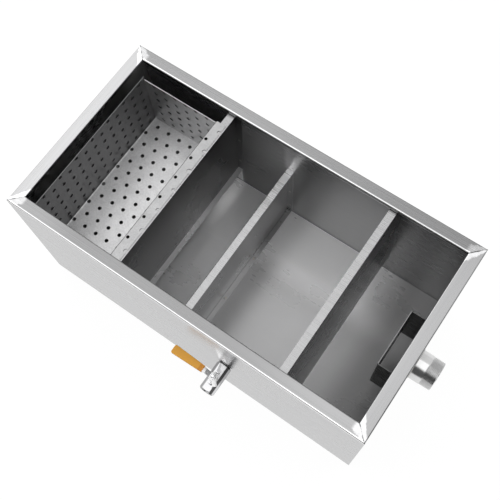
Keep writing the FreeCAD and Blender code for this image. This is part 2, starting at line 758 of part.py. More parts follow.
def make_seat(name, side):
    """A plastic ring that bears on the ball; side is its place along the flow."""
    body = new_body(name)
    profile = sketch_on(body, name + "_section", "XZ_Plane")
    back = STEM_AT + SEAT_BACK * side
    front = STEM_AT + (SEAT_BACK - s.seat_thickness) * side
    add_rectangle(profile, s.seat_bore / 2, s.thread_bore / 2, front, back)
    turn(body, "Revolution", name + "_turned", profile)
    hollow = body.newObject("PartDesign::SubtractiveSphere", name + "_hollow")
    bind(hollow, "Radius", SEAT_RADIUS)
    bind(hollow, "Placement.Base.z", STEM_AT)
    doc.recompute()
    place_on_flow(body)


def make_ball():
    """The ball, drawn closed: its bore lies across the flow, its slot on top."""
    body = new_body("valve_ball")
    ball = body.newObject("PartDesign::AdditiveSphere", "valve_ball_turned")
    bind(ball, "Radius", BALL_RADIUS)
    doc.recompute()
    bore = sketch_on(body, "valve_ball_bore_section", "YZ_Plane")
    add_circle(bore, ZERO, ZERO, s.port_size / 2)
    extrude(body, "Pocket", "valve_ball_bore", bore, s.ball_size * 2, both_ways=True)
    slot = sketch_on(body, "valve_ball_slot_section", "XZ_Plane")
    add_rectangle(slot, s.tang_width / -2, s.tang_width / 2,
                  BALL_RADIUS - s.tang_depth, BALL_RADIUS + 1)
    extrude(body, "Pocket", "valve_ball_slot", slot, s.ball_size * 2, both_ways=True)
    place_on_stem(body)


def make_stem():
    """The stem: tang in the ball's slot, collar, journal and flats for the lever."""
    top = (s.lever_plane + s.lever_sheet + s.washer_thickness + s.lever_nut_height
           + s.stem_tip)
    shoulder = BALL_RADIUS + s.ball_clearance
    body = new_body("valve_stem")
    rod = sketch_on(body, "valve_stem_section", "XZ_Plane")
    radius = s.stem_size / 2
    bevel = s.stem_tip / 2
    add_polygon(rod, [(ZERO, shoulder), (radius, shoulder), (radius, top - bevel),
                      (radius - bevel, top), (ZERO, top)])
    turn(body, "Revolution", "valve_stem_turned", rod)
    tang = sketch_on(body, "valve_stem_tang", "XZ_Plane")
    add_rectangle(tang, s.tang_width / -2, s.tang_width / 2,
                  BALL_RADIUS - s.tang_depth, shoulder + s.tang_width)
    extrude(body, "Pad", "valve_stem_tang_milled", tang, s.stem_size * 0.8, both_ways=True)
    flats = sketch_on(body, "valve_stem_flats", "XY_Plane", s.lever_plane)
    for side in (-1, 1):
        add_rectangle(flats, -s.stem_size, s.stem_size, radius * 0.72 * side,
                      s.stem_size * side)
    extrude(body, "Pocket", "valve_stem_flats_milled", flats, top - s.lever_plane,
            backwards=True)
    place_on_stem(body)


def make_packing():
    """The plastic packing ring round the stem, in the boss's chamber."""
    body = new_body("stem_packing")
    profile = sketch_on(body, "stem_packing_section", "XZ_Plane")
    add_rectangle(profile, STEM_HOLE / 2, s.packing_size / 2,
                  s.boss_height - s.packing_height, s.boss_height - 1)
    turn(body, "Revolution", "stem_packing_turned", profile)
    place_on_stem(body)


def make_gland_nut():
    """The nut that presses the packing down, with its spigot inside the boss."""
    body = new_body("gland_nut")
    hexagon = sketch_on(body, "gland_nut_hexagon", "XY_Plane", s.boss_height)
    add_hexagon(hexagon, ZERO, ZERO, s.gland_flats)
    extrude(body, "Pad", "gland_nut_head", hexagon, s.gland_height)
    spigot = sketch_on(body, "gland_nut_spigot", "XY_Plane", s.boss_height - 1)
    add_circle(spigot, ZERO, ZERO, s.packing_size / 2)
    extrude(body, "Pad", "gland_nut_spigot_turned", spigot, 1)
    hole = sketch_on(body, "gland_nut_bore_section", "XY_Plane", s.boss_height - 2)
    add_circle(hole, ZERO, ZERO, STEM_HOLE / 2)
    extrude(body, "Pocket", "gland_nut_bore", hole, s.gland_height + 3, backwards=True)
    place_on_stem(body)


# Lever. It lies along -X, across the flow, when the valve is closed.

HANDLE_LOW = s.lever_plane + s.crank_rise
TAPER = (s.lever_width - s.lever_root_width) / (s.lever_reach - s.crank_start) / 2


def half_width_at(distance):
    """Half of the lever's width at a distance from the stem."""
    return s.lever_root_width / 2 + TAPER * (distance - s.crank_start)


def taper_sides(body, name, start, end, wall, top):
    """Cut both long sides of a straight piece to the lever's taper plus a wall."""
    cut = sketch_on(body, name + "_taper", "XY_Plane", top)
    for side in (-1, 1):
        outside = s.lever_width * side
        add_polygon(cut, [(-start, (half_width_at(start) + wall) * side),
                          (-end, (half_width_at(end) + wall) * side),
                          (-end, outside), (-start, outside)])
    extrude(body, "Pocket", name + "_taper_cut", cut, s.crank_rise * 4)


def make_lever():
    """A cranked lever: hub with its stop ear, rising crank and straight handle."""
    t = s.lever_sheet
    low = s.lever_plane
    high = HANDLE_LOW
    body = new_body("valve_lever")
    side_view = sketch_on(body, "valve_lever_section", "XZ_Plane")
    add_polygon(side_view, [
        (ZERO, low), (ZERO, low + t), (-s.crank_start, low + t), (-s.crank_end, high + t),
        (-s.lever_reach, high + t), (-s.lever_reach, high),
        (-s.crank_end - t * 0.4, high), (-s.crank_start - t * 0.4, low)])
    extrude(body, "Pad", "valve_lever_crank", side_view, s.lever_width, both_ways=True)
    taper_sides(body, "valve_lever", ZERO, s.lever_reach, ZERO, high + t + 1)
    hub = sketch_on(body, "valve_lever_hub", "XY_Plane", low)
    add_circle(hub, ZERO, ZERO, s.hub_size / 2)
    extrude(body, "Pad", "valve_lever_hub_plate", hub, t)
    ear = sketch_on(body, "valve_lever_ear", "XY_Plane", low)
    reach = s.ear_reach * math.sqrt(0.5)
    half = s.ear_width / 2 * math.sqrt(0.5)
    add_polygon(ear, [(half, half), (reach + half, half - reach),
                      (reach - half, -reach - half), (-half, -half)])
    extrude(body, "Pad", "valve_lever_stop_ear", ear, t)
    hole = sketch_on(body, "valve_lever_hole_section", "XY_Plane", low - 1)
    radius = s.stem_size / 2
    add_rectangle(hole, -radius, radius, radius * -0.72, radius * 0.72)
    extrude(body, "Pocket", "valve_lever_hole", hole, t + 2, backwards=True)
    place_on_stem(body)


def make_ring(name, inner, outer, low, high):
    """A plain turned ring on the stem axis."""
    body = new_body(name)
    profile = sketch_on(body, name + "_section", "XZ_Plane")
    add_rectangle(profile, inner, outer, low, high)
    turn(body, "Revolution", name + "_turned", profile)
    place_on_stem(body)


def make_lever_nut():
    """The nut on the stem's end above the lever's washer."""
    low = s.lever_plane + s.lever_sheet + s.washer_thickness
    body = new_body("lever_nut")
    hexagon = sketch_on(body, "lever_nut_hexagon", "XY_Plane", low)
    add_hexagon(hexagon, ZERO, ZERO, s.lever_nut_flats)
    add_circle(hexagon, ZERO, ZERO, s.stem_size / 2)
    extrude(body, "Pad", "lever_nut_pressed", hexagon, s.lever_nut_height)
    place_on_stem(body)


def make_grip_sleeve():
    """The soft plastic sleeve pushed over the lever's tapered handle."""
    w = s.grip_wall
    body = new_body("grip_sleeve")
    low = HANDLE_LOW
    high = low + s.lever_sheet
    tip = s.lever_reach + s.grip_end_wall
    block = sketch_on(body, "grip_sleeve_outline", "XZ_Plane")
    add_rectangle(block, -tip, -s.grip_start, low - w, high + w)
    width = half_width_at(tip) * 2 + w * 2
    extrude(body, "Pad", "grip_sleeve_moulded", block, width, both_ways=True)
    taper_sides(body, "grip_sleeve", s.grip_start, tip, w, high + w + 1)

    def end_corners(edge, middle):
        return runs_along(edge, 2) and near(middle[0], -tip)

    def long_edges(edge, middle):
        level = near(middle[2], low - w) or near(middle[2], high + w)
        return level and not runs_along(edge, 1)

    round_edges(body, "grip_sleeve_end_corners", s.grip_end_wall, end_corners)
    round_edges(body, "grip_sleeve_long_edges", w * 0.8, long_edges)
    cavity = sketch_on(body, "grip_sleeve_cavity", "XY_Plane", high)
    root, end = half_width_at(s.grip_start), half_width_at(s.lever_reach)
    add_polygon(cavity, [(-s.grip_start, root), (-s.lever_reach, end),
                         (-s.lever_reach, -end), (-s.grip_start, -root)])
    extrude(body, "Pocket", "grip_sleeve_hollow", cavity, s.lever_sheet)
    place_on_stem(body)


def make_everything():
    make_floor()
    make_long_panel("front_panel", -1)
    make_long_panel("back_panel", 1)
    make_end_panel("inlet_panel", -1, pipe_hole=False)
    make_end_panel("outlet_panel", 1, pipe_hole=True)
    pierce_front_panel()
    make_baffle("inlet_baffle", INLET_BAFFLE_X, 1, BAFFLE_TOP, s.inlet_baffle_gap,
                -s.inlet_baffle_lean)
    make_baffle("weir_baffle", WEIR_X, 1, s.weir_height, s.tank_sheet, ZERO)
    make_baffle("outlet_baffle", OUTLET_BAFFLE_X, -1, BAFFLE_TOP, s.outlet_baffle_gap,
                s.outlet_baffle_lean)
    make_basket_pan()
    make_basket_end("basket_end_front", -1)
    make_basket_end("basket_end_back", 1)
    make_basket_ledge()
    make_hood()
    make_outlet_pipe()
    make_nipple()
    make_valve_body()
    make_insert()
    make_seat("inner_seat", -1)
    make_seat("outer_seat", 1)
    make_ball()
    make_stem()
    make_packing()
    make_gland_nut()
    make_lever()
    low = s.lever_plane + s.lever_sheet
    make_ring("lever_washer", s.stem_size / 2, s.washer_size / 2, low,
              low + s.washer_thickness)
    make_lever_nut()
    make_grip_sleeve()


NODES = [
    "floor_plate", "front_panel", "back_panel", "inlet_panel", "outlet_panel",
    "inlet_baffle", "weir_baffle", "outlet_baffle", "basket_pan", "basket_end_front",
    "basket_end_back", "basket_ledge", "outlet_hood", "outlet_pipe", "valve_nipple",
    "valve_body", "valve_insert", "inner_seat", "outer_seat", "valve_ball", "valve_stem",
    "stem_packing", "gland_nut", "valve_lever", "lever_washer", "lever_nut", "grip_sleeve",
]


def check_document():
    """Stop if any object of the document failed or gave no valid solid."""
    for obj in doc.Objects:
        if "Invalid" in obj.State or "Error" in obj.State:
            raise RuntimeError("%s failed: %s" % (obj.Name, obj.State))
    for node in NODES:
        shape = doc.getObject(node).Shape
        if shape.isNull() or not shape.isValid() or not shape.Solids:
            raise RuntimeError("%s has no valid solid" % node)


def write_parts():
    os.makedirs("parts", exist_ok=True)
    for node in NODES:
        obj = doc.getObject(node)
        obj.Shape.exportStep("parts/%s.step" % obj.Label)


make_everything()
doc.recompute()
check_document()
write_parts()
for node in NODES:
    solid = doc.getObject(node).Shape
    print("%-18s solids %d volume %.1f mm3" % (node, len(solid.Solids), solid.Volume))
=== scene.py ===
"""Looks of the grease trap: perforated basket, threaded pipe, welds, steel and stage."""
import math

import bmesh
import bpy
import numpy as np
from bpy.props import FloatProperty, FloatVectorProperty, PointerProperty
from mathutils import Matrix, Vector


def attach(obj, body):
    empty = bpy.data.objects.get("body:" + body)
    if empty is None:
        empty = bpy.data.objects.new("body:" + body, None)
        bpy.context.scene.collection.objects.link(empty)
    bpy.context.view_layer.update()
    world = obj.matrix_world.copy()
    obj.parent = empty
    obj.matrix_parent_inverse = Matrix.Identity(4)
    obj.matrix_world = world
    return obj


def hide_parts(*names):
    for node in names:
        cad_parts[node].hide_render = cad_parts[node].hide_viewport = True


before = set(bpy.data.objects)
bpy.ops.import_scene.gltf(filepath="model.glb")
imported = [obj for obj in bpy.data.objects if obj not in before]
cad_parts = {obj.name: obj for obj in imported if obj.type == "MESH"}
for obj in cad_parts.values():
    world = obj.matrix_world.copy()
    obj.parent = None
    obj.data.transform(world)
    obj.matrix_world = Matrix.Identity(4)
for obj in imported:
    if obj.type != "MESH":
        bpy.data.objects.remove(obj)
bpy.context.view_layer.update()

bl_info = {
    "name": "Grease trap looks",
    "version": (1, 0, 0),
    "blender": (4, 5, 0),
    "location": "View3D > Sidebar > Grease Trap",
    "description": "Makes the basket, pipe, welds, metals and stage of a steel grease trap",
    "category": "Object",
}

TANK = "tank"
HANDLE = "handle"

TALL_BAFFLE_TOP, WEIR_TOP = 0.2755, 0.163
VALVE_X = 0.076
FLOW_AXIS = (VALVE_X, 0, 0.153)
STEM_AXIS = (VALVE_X, -0.1895, 0)


# Settings

class BasketSettings(bpy.types.PropertyGroup):
    """Sizes of the perforated basket."""
    sheet: FloatProperty(name="Sheet", description="Thickness of the perforated sheet",
                         default=0.001, unit="LENGTH")
    hole: FloatProperty(name="Hole", description="Diameter of the round holes",
                        default=0.0065, unit="LENGTH")
    row_step: FloatProperty(name="Row step", description="Distance between rows of the pan",
                            default=0.01926, unit="LENGTH")
    end_pitch: FloatProperty(name="End pitch", description="Hole distance of the end plates",
                             default=0.0205, unit="LENGTH")


class PipeSettings(bpy.types.PropertyGroup):
    """Sizes of the outlet pipe's thread and of the welds."""
    thread_pitch: FloatProperty(name="Thread pitch", description="Distance between turns",
                                default=0.002309, unit="LENGTH")
    thread_depth: FloatProperty(name="Thread depth", description="Crest to root of the thread",
                                default=0.0011, unit="LENGTH")
    bead: FloatProperty(name="Weld bead", description="Radius of the pipe's weld bead",
                        default=0.0016, unit="LENGTH")
    spot: FloatProperty(name="Spot weld", description="Diameter of a spot weld's mark",
                        default=0.006, unit="LENGTH")


class FinishSettings(bpy.types.PropertyGroup):
    """Colours and gloss of the metals and plastics."""
    steel: FloatVectorProperty(name="Steel", description="Colour of the box's sheet",
                               subtype="COLOR", default=(0.335, 0.335, 0.338))
    steel_roughness: FloatProperty(name="Steel roughness", description="Gloss of the sheet",
                                   default=0.28, min=0.0, max=1.0)
    grip: FloatVectorProperty(name="Grip", description="Colour of the lever's sleeve",
                              subtype="COLOR", default=(1.0, 0.47, 0.03))
    seal: FloatVectorProperty(name="Seal", description="Colour of the seats and packing",
                              subtype="COLOR", default=(0.86, 0.86, 0.83))


class StageSettings(bpy.types.PropertyGroup):
    """Light levels and floor."""
    overhead: FloatProperty(name="Overhead", description="Level of the soft light overhead",
                            default=1.38, min=0.0)
    behind: FloatProperty(name="Behind", description="Level of the pale wall behind",
                          default=0.74, min=0.0)
    inlet_side: FloatProperty(name="Inlet side", description="Level at the inlet end",
                              default=0.6, min=0.0)
    dark: FloatProperty(name="Dark", description="Level of the rest of the room",
                        default=0.10, min=0.0)
    bounce: FloatProperty(name="Bounce", description="Level of the floor in reflections",
                          default=1.0, min=0.0)
    floor_shadow: FloatProperty(name="Floor shadow", description="Share of shadow that shows",
                                default=0.08, min=0.0, max=1.0)
    floor_size: FloatProperty(name="Floor size", description="Width of the floor",
                              default=12.0, unit="LENGTH")


# Shader maths

class Value:
    """A shader socket that adds Math nodes when used in an expression."""

    def __init__(self, graph, socket):
        self.graph = graph
        self.socket = socket

    def math(self, operation, *others, clamp=False):
        settings = {"operation": operation, "use_clamp": clamp}
        return self.graph.add("ShaderNodeMath", settings, dict(enumerate((self, *others))))

    def __add__(self, other):
        return self.math("ADD", other)

    __radd__ = __add__

    def __sub__(self, other):
        return self.math("SUBTRACT", other)

    def __rsub__(self, other):
        return self.graph.add("ShaderNodeMath", {"operation": "SUBTRACT"}, {0: other, 1: self})

    def __mul__(self, other):
        return self.math("MULTIPLY", other)

    def __abs__(self):
        return self.math("ABSOLUTE")

    def rise(self, low, high):
        """0 below low, 1 above high and an even S-shaped rise between them."""
        return self.graph.add("ShaderNodeMapRange", {"interpolation_type": "SMOOTHSTEP"},
                              {"Value": self, "From Min": low, "From Max": high})

    def fall(self, low, high):
        """1 below low, 0 above high and an even S-shaped fall between them."""
        return 1.0 - self.rise(low, high)

    def clamped(self):
        """Kept between 0 and 1."""
        return self.math("ADD", 0.0, clamp=True)


class Graph:
    """The node tree of a material or a world, filled through one method."""

    def __init__(self, tree):
        self.tree = tree
        tree.nodes.clear()

    def add(self, kind, settings=None, inputs=None, output=0):
        """Add a node: its settings come first, then its sockets' values or links."""
        node = self.tree.nodes.new(kind)
        for key, value in (settings or {}).items():
            if key == "stops":
                fill_ramp(node.color_ramp, value)
            else:
                setattr(node, key, value)
        for key, value in (inputs or {}).items():
            if isinstance(value, Value):
                self.tree.links.new(value.socket, node.inputs[key])
            else:
                node.inputs[key].default_value = value
        return Value(self, node.outputs[output]) if len(node.outputs) else node

    def place(self):
        """Object coordinates in metres."""
        return self.add("ShaderNodeTexCoord", output=3)

    def axes(self, point=None):
        """The three numbers of a point, by default of the object coordinates."""
        node = self.add("ShaderNodeSeparateXYZ", inputs={0: point or self.place()}).socket.node
        return [Value(self, out) for out in node.outputs]

    def noise(self, scale, detail=3.0, roughness=0.5, offset=(0, 0, 0)):
        """Noise over the object coordinates, stretched by a scale for each axis."""
        point = self.add("ShaderNodeMapping", inputs={"Vector": self.place(),
                                                      "Location": offset, "Scale": scale})
        return self.add("ShaderNodeTexNoise", inputs={
            "Vector": point, "Scale": 1.0, "Detail": detail, "Roughness": roughness})

    def mix_colour(self, factor, first, second):
        inputs = {0: factor, 6: first, 7: second}
        return self.add("ShaderNodeMix", {"data_type": "RGBA"}, inputs, output=2)

    def bump(self, height, distance, strength=1.0):
        return self.add("ShaderNodeBump", inputs={
            "Height": height, "Distance": distance, "Strength": strength})

    def surface(self, **inputs):
        """A Principled surface on the material's output."""
        named = {key.replace("_", " "): value for key, value in inputs.items()}
        shader = self.add("ShaderNodeBsdfPrincipled", inputs=named)
        self.add("ShaderNodeOutputMaterial", inputs={"Surface": shader})


def fill_ramp(ramp, stops):
    """Set a colour ramp's stops, given as (place, colour) pairs."""
    while len(ramp.elements) > 1:
        ramp.elements.remove(ramp.elements[0])
    for index, (where, tone) in enumerate(stops):
        element = ramp.elements[0] if index == 0 else ramp.elements.new(where)
        element.position = where
        element.color = (*tone, 1)


def new_graph(name):
    material = bpy.data.materials.new(name)
    material.use_nodes = True
    return material, Graph(material.node_tree)


def tinted(colour, factor):
    """A colour times a number, with full alpha."""
    return (*(channel * factor for channel in colour), 1.0)


# Materials

GRAIN = {"x": (4.0, 900.0, 900.0), "y": (900.0, 4.0, 900.0), "soft": (2.0, 240.0, 240.0)}
SLOPE_PER_METRE = 850.0
DULL_SHARE = 0.6


def zoned(graph, colour, tone, zones):
    """Colour times tone, and times the factor of each (mask, factor) where its mask is 1. Most
    callers use these factors as painted light and shade.
    """
    for mask, factor in zones:
        tone = tone * (1.0 + mask(*graph.axes()) * (factor - 1.0))
    return graph.add("ShaderNodeVectorMath", {"operation": "SCALE"},
                     {0: tuple(colour), "Scale": tone})


def sheet_steel(name, colour, roughness, grain="x", streak=0.10, cloud=0.06, spread=0.10,
                zones=(), brushed=None, metallic=1.0, dull=None, edge=1.0):
    """Brushed sheet steel.

    Three noises stretched along the grain make fine, middle and broad streaks, and a slow
    noise clouds them. The fine one also tilts the normal across the grain by about spread,
    which draws reflections out as brushing does. Brushed, if given, is a mask outside of
    which the sheet is smooth, and dull one where it scatters light. Edge is the level of
    what it reflects at a flat angle.
    """
    material, graph = new_graph(name)
    fine, middle, broad = (
        graph.noise([value * share for value in GRAIN[grain]], detail=2.0, offset=offset)
        for share, offset in ((1.0, (0, 0, 0)), (0.45, (3.1, 1.7, 5.3)), (0.12, (7.7, 4.2, 1.9))))
    slow = graph.noise((7.0, 7.0, 7.0), detail=4.0, roughness=0.6)
    streaks = (fine - 0.5) * 0.6 + (middle - 0.5) + (broad - 0.5) * 0.6
    height = fine
    if brushed:
        part = brushed(*graph.axes())
        streaks, height = streaks * part, (fine - 0.5) * part
    tone = 1.0 + streaks * (streak * 2) + (slow - 0.5) * (cloud * 2)
    gloss = roughness + streaks * min(0.08, streak) + (slow - 0.5) * 0.08
    if dull:
        metallic = metallic - dull(*graph.axes()) * DULL_SHARE
    graph.surface(Base_Color=zoned(graph, colour, tone, zones),
                  Metallic=metallic, Roughness=gloss, Specular_Tint=(edge, edge, edge, 1.0),
                  Normal=graph.bump(height, spread / SLOPE_PER_METRE))
    return material


def turned_steel(name, colour, roughness, centre, axis, zones=()):
    """Turned steel: fine rings by the distance from an axis and the place along it."""
    material, graph = new_graph(name)
    point = graph.axes()
    across = [point[i] - centre[i] for i in range(3) if i != axis]
    distance = (across[0] * across[0] + across[1] * across[1]).math("SQRT")
    ring = graph.add("ShaderNodeCombineXYZ", inputs={0: distance * 3000.0,
                                                    1: point[axis] * 3000.0})
    lines = graph.add("ShaderNodeTexNoise", inputs={"Vector": ring, "Scale": 1.0,
                                                    "Detail": 2.0})
    slow = graph.noise((60.0, 60.0, 60.0), detail=3.0)
    tone = 1.0 + (lines - 0.5) * 0.16 + (slow - 0.5) * 0.12
    graph.surface(Base_Color=zoned(graph, colour, tone, zones), Metallic=1.0,
                  Roughness=roughness + (lines - 0.5) * 0.10,
                  Normal=graph.bump(lines, 0.00002, 0.5))
    return material


def matt_sheet(name, colour, roughness, zones=(), dull=None):
    """Pickled, matt steel with an even fine grain, as on perforated sheet.

    Where the mask dull is 1, the surface scatters light like frosted metal.
    """
    material, graph = new_graph(name)
    grain = graph.noise((520.0, 520.0, 520.0), detail=3.0, roughness=0.7)
    blotch = graph.noise((60.0, 60.0, 60.0), detail=4.0, roughness=0.6)
    tone = 1.0 + (grain - 0.5) * 0.7 + (blotch - 0.5) * 0.35
    shine = 1.0 - dull(*graph.axes()) * DULL_SHARE if dull else 1.0
    graph.surface(Base_Color=zoned(graph, colour, tone, zones), Metallic=shine,
                  Roughness=roughness + (grain - 0.5) * 0.15,
                  Normal=graph.bump(grain + blotch * 0.6, 0.00012))
    return material


def weld_metal(name):
    """Weld metal: straw and blue heat colour in patches over rippled steel."""
    material, graph = new_graph(name)
    patchy = graph.noise((240.0, 240.0, 240.0), detail=3.0)
    dark, grey, straw, blue = (0.275,) * 3, (0.5,) * 3, (0.50, 0.42, 0.30), (0.30, 0.33, 0.42)
    ramp = graph.add("ShaderNodeValToRGB", {"stops": [
        (0.30, dark), (0.5, grey), (0.68, straw), (0.8, blue)]}, {"Fac": patchy})
    graph.surface(Base_Color=ramp, Metallic=1.0, Roughness=0.32 + (patchy - 0.5) * 0.2,
                  Normal=graph.bump(patchy, 0.0001, 0.6))
    return material


def grip_plastic(name, colour):
    """Soft dipped plastic with a faint orange-peel skin.

    The colour is deeper in the first millimetres at the lever's root and along the edges.
    """
    material, graph = new_graph(name)
    peel = graph.noise((700.0, 700.0, 700.0), detail=2.0)
    cloud = graph.noise((90.0, 90.0, 90.0), detail=3.0)
    x, _, z = graph.axes()
    base = graph.mix_colour(cloud.rise(0.3, 0.7), tinted(colour, 0.94), tinted(colour, 1.0))
    deep = (colour[0] * 0.82, colour[1] * 0.68, colour[2] * 0.2, 1.0)
    base = graph.mix_colour(x.rise(0.0515, 0.0525), base, deep)
    edge = (colour[0] * 0.5, colour[1] * 0.36, colour[2] * 0.3, 1.0)
    base = graph.mix_colour(z.fall(0.1858, 0.1868), base, edge)
    graph.surface(Base_Color=base, Roughness=0.38 + (cloud - 0.5) * 0.15,
                  Coat_Weight=0.06, Coat_Roughness=0.2, Normal=graph.bump(peel, 0.00003))
    return material


def waxy_plastic(name, colour):
    """White sealing plastic with faint turning rings."""
    material, graph = new_graph(name)
    cloud = graph.noise((400.0, 400.0, 400.0), detail=2.0)
    base = graph.mix_colour(cloud.rise(0.3, 0.7), tinted(colour, 0.92), tinted(colour, 1.0))
    graph.surface(Base_Color=base, Roughness=0.5 + (cloud - 0.5) * 0.1,
                  Normal=graph.bump(cloud, 0.00004, 0.5))
    return material


# Masks of places on the metal. Each takes the object coordinates, in metres, and is 1 at the
# place that its docstring names. The zones use most of them to paint light or shade into the base
# colour; ground_corner and mitre_seam are the real welds and seams.

HALF_LENGTH, HALF_WIDTH = 0.310, 0.162
RIM_TOP = (0.2838, 0.2845)
MITRE_TOP = (0.2825, 0.2835)
NEAR_LIP = (-0.1415, -0.141)
NEAR_FOLD = (-0.1594, -0.1588)
TALL_TOP = (0.2740, 0.2752)
TALL_FOOT = (0.0514, 0.0520)
OUTLET_BAFFLE = (0.172, 0.178)
INLET_PART = (0.0, 0.01)
COS_45 = 0.7071


def mitre_distance(x, y):
    """Distance from the diagonal through the nearest top corner."""
    return abs((abs(x) - HALF_LENGTH) - (abs(y) - HALF_WIDTH)) * COS_45


def ground_corner(x, y, z):
    """The ground weld at the mitres: wavy, mottled and wider towards the inside."""
    wave = x.graph.noise((90.0, 90.0, 90.0), detail=4.0, roughness=0.7)
    mottle = x.graph.noise((300.0, 300.0, 300.0), detail=3.0, offset=(5.0, 1.0, 2.0))
    inward = HALF_LENGTH - abs(x)
    width = 0.003 + inward * 0.35 + (wave - 0.5) * 0.012
    near = (mitre_distance(x, y) - width).fall(-0.001, 0.0015)
    return near * inward.fall(0.021, 0.027) * z.rise(*MITRE_TOP) * (0.55 + mottle * 0.9)


def mitre_seam(x, y, z):
    """The thin broken line left along the diagonal."""
    broken = x.graph.noise((130.0, 130.0, 130.0), detail=2.0, offset=(2.0, 6.0, 1.0))
    near = (mitre_distance(x, y) - (broken - 0.5) * 0.002).fall(0.0002, 0.0011)
    corner = (HALF_LENGTH - abs(x)).fall(0.021, 0.023)
    return near * corner * broken.rise(0.38, 0.5) * z.rise(*MITRE_TOP)


def outer_face(x, y, z):
    """The long walls' outer faces below the rim's fold, brightened with painted light."""
    return abs(y).rise(HALF_WIDTH - 0.0004, HALF_WIDTH - 0.0002)


def inlet_rim(x, y, z):
    """The top of the inlet end's rim, slightly darkened with painted shade."""
    return x.fall(-0.2905, -0.2895) * z.rise(*RIM_TOP)


def outlet_rim(x, y, z):
    """The top of the outlet end's rim, brightened with painted light."""
    return x.rise(0.2895, 0.2905) * z.rise(*RIM_TOP)


def far_rim(x, y, z):
    """The back rim's top, darkened with painted shade that grows towards the outlet."""
    return y.rise(0.1434, 0.1438) * z.rise(*RIM_TOP) * x.rise(-0.15, 0.32)


def near_rim(x, y, z):
    """The front rim's top towards the outlet, brightened with painted light."""
    return y.fall(*NEAR_LIP) * x.rise(0.12, 0.26) * z.rise(*RIM_TOP)


def near_middle(x, y, z):
    """The middle of the front rim's top, darkened with painted shade."""
    along = x.rise(-0.26, -0.18) * x.fall(0.04, 0.20)
    return y.fall(*NEAR_LIP) * along * y.rise(*NEAR_FOLD) * z.rise(*RIM_TOP)


def outer_fold(x, y, z):
    """The front rim's outer edge and the back rim's inner edge, where a painted highlight lies.
    """
    front = y.fall(*NEAR_FOLD) * z.rise(0.2826, 0.2832)
    back = y.fall(0.1446, 0.1450) * y.rise(0.141, 0.1415)
    return (front + back * z.rise(0.2828, 0.2834)).clamped()


def side_fold(x, y, z):
    """The outlet rim's inner fold, which faces the inlet, where a painted highlight lies."""
    return x.fall(0.2910, 0.2916) * z.rise(0.2834, 0.2838)


def lip_edge(x, y, z):
    """The lower edge of the long rims' lips, where a painted highlight lies."""
    return abs(y).fall(0.1435, 0.144) * z.fall(0.2786, 0.2792)


def inner_walls(x, y, z):
    """The walls' inner faces."""
    return abs(y).fall(0.1611, 0.1615) * abs(x).fall(0.3091, 0.3095) * z.fall(0.276, 0.278)


def basket_bay(x, y, z):
    """The walls round the basket, brightened with painted light."""
    return x.fall(-0.135, -0.125) * inner_walls(x, y, z)


def weir_bay(x, y, z):
    """The back and front wall before the weir, darkened with painted shade."""
    return x.rise(-0.13, -0.12) * x.fall(-0.04, 0.0) * inner_walls(x, y, z)


def weir_bay_top(x, y, z):
    """The same walls, growing upwards, where painted light brightens them."""
    return weir_bay(x, y, z) * z.rise(0.08, 0.24)


def middle_bay(x, y, z):
    """The walls between the weir and the outlet baffle, darkened with painted shade."""
    return x.rise(-0.03, 0.02) * x.fall(*OUTLET_BAFFLE) * inner_walls(x, y, z)


def painted_baffle_shade(x, y, z):
    """The long walls just behind the outlet baffle, darkened with painted shade."""
    return x.rise(*OUTLET_BAFFLE) * x.fall(0.22, 0.27) * inner_walls(x, y, z)


def back_end(x, y, z):
    """The long walls' inner faces towards the outlet, brightened with painted light."""
    return x.rise(0.235, 0.30) * inner_walls(x, y, z)


def outlet_inside(x, y, z):
    """The inner face of the outlet end's wall, brightened with painted light."""
    return x.rise(0.300, 0.302) * inner_walls(x, y, z)


def painted_weir_reflection(x, y, z):
    """A painted reflection: a blurred image of the weir's bright top on the back wall above it.
    """
    across = abs(x + 0.022).fall(0.004, 0.016)
    up = z.rise(0.160, 0.166) * z.fall(0.17, 0.26)
    return across * up * inner_walls(x, y, z) * y.rise(0.0, 0.1)


def painted_valve_reflection(x, y, z):
    """A painted reflection: the valve's light image in the front wall above it."""
    across = abs(x - 0.0745).fall(0.004, 0.010)
    up = z.rise(0.165, 0.175) * z.fall(0.19, 0.27)
    return across * up * y.fall(-0.1618, -0.1614)


def smooth_inside(x, y, z):
    """1 on the rims and outer faces, and a third on the inner faces."""
    outside = z.rise(0.279, 0.281) + abs(y).rise(0.1614, 0.1618) + abs(x).rise(0.3094, 0.3098)
    return outside.clamped() * 0.67 + 0.33


def above(level):
    """Mask of what reaches up to a level."""
    return lambda x, y, z: z.rise(level - 0.0006, level - 0.0002)


def inlet_web(x, y, z):
    """The inlet baffle below its top, darkened with painted shade."""
    return x.fall(*INLET_PART) * z.fall(*TALL_TOP)


def outlet_web(x, y, z):
    """The outlet baffle below its top, brightened with painted light."""
    return x.rise(*INLET_PART) * z.fall(*TALL_TOP)


def web_back(x, y, z):
    """The inlet baffle's web towards the back wall, brightened with painted light."""
    return y.rise(-0.05, 0.06) * inlet_web(x, y, z) * z.rise(*TALL_FOOT)


def web_low(x, y, z):
    """The lower half of the inlet baffle's web, brightened with painted light."""
    return x.fall(*INLET_PART) * z.fall(0.15, 0.25) * z.rise(*TALL_FOOT)


def lower_edge(x, y, z):
    """The inlet baffle's foot flange, brightened with painted light."""
    return x.fall(*INLET_PART) * z.fall(*TALL_FOOT)


def flange_end(x, y, z):
    """The weir's top where it meets the back wall, made bright with painted light."""
    return y.rise(0.085, 0.128) * (1.0 - y.rise(0.142, 0.157) * 0.4) * z.rise(0.1624, 0.1628)


def weir_web(x, y, z):
    """The weir below its top, darkened with painted shade."""
    return z.fall(0.1614, 0.1622)


def weir_foot(x, y, z):
    """The weir's foot on the floor, brightened with painted light."""
    return x.rise(-0.0268, -0.0264) * z.fall(0.003, 0.004)


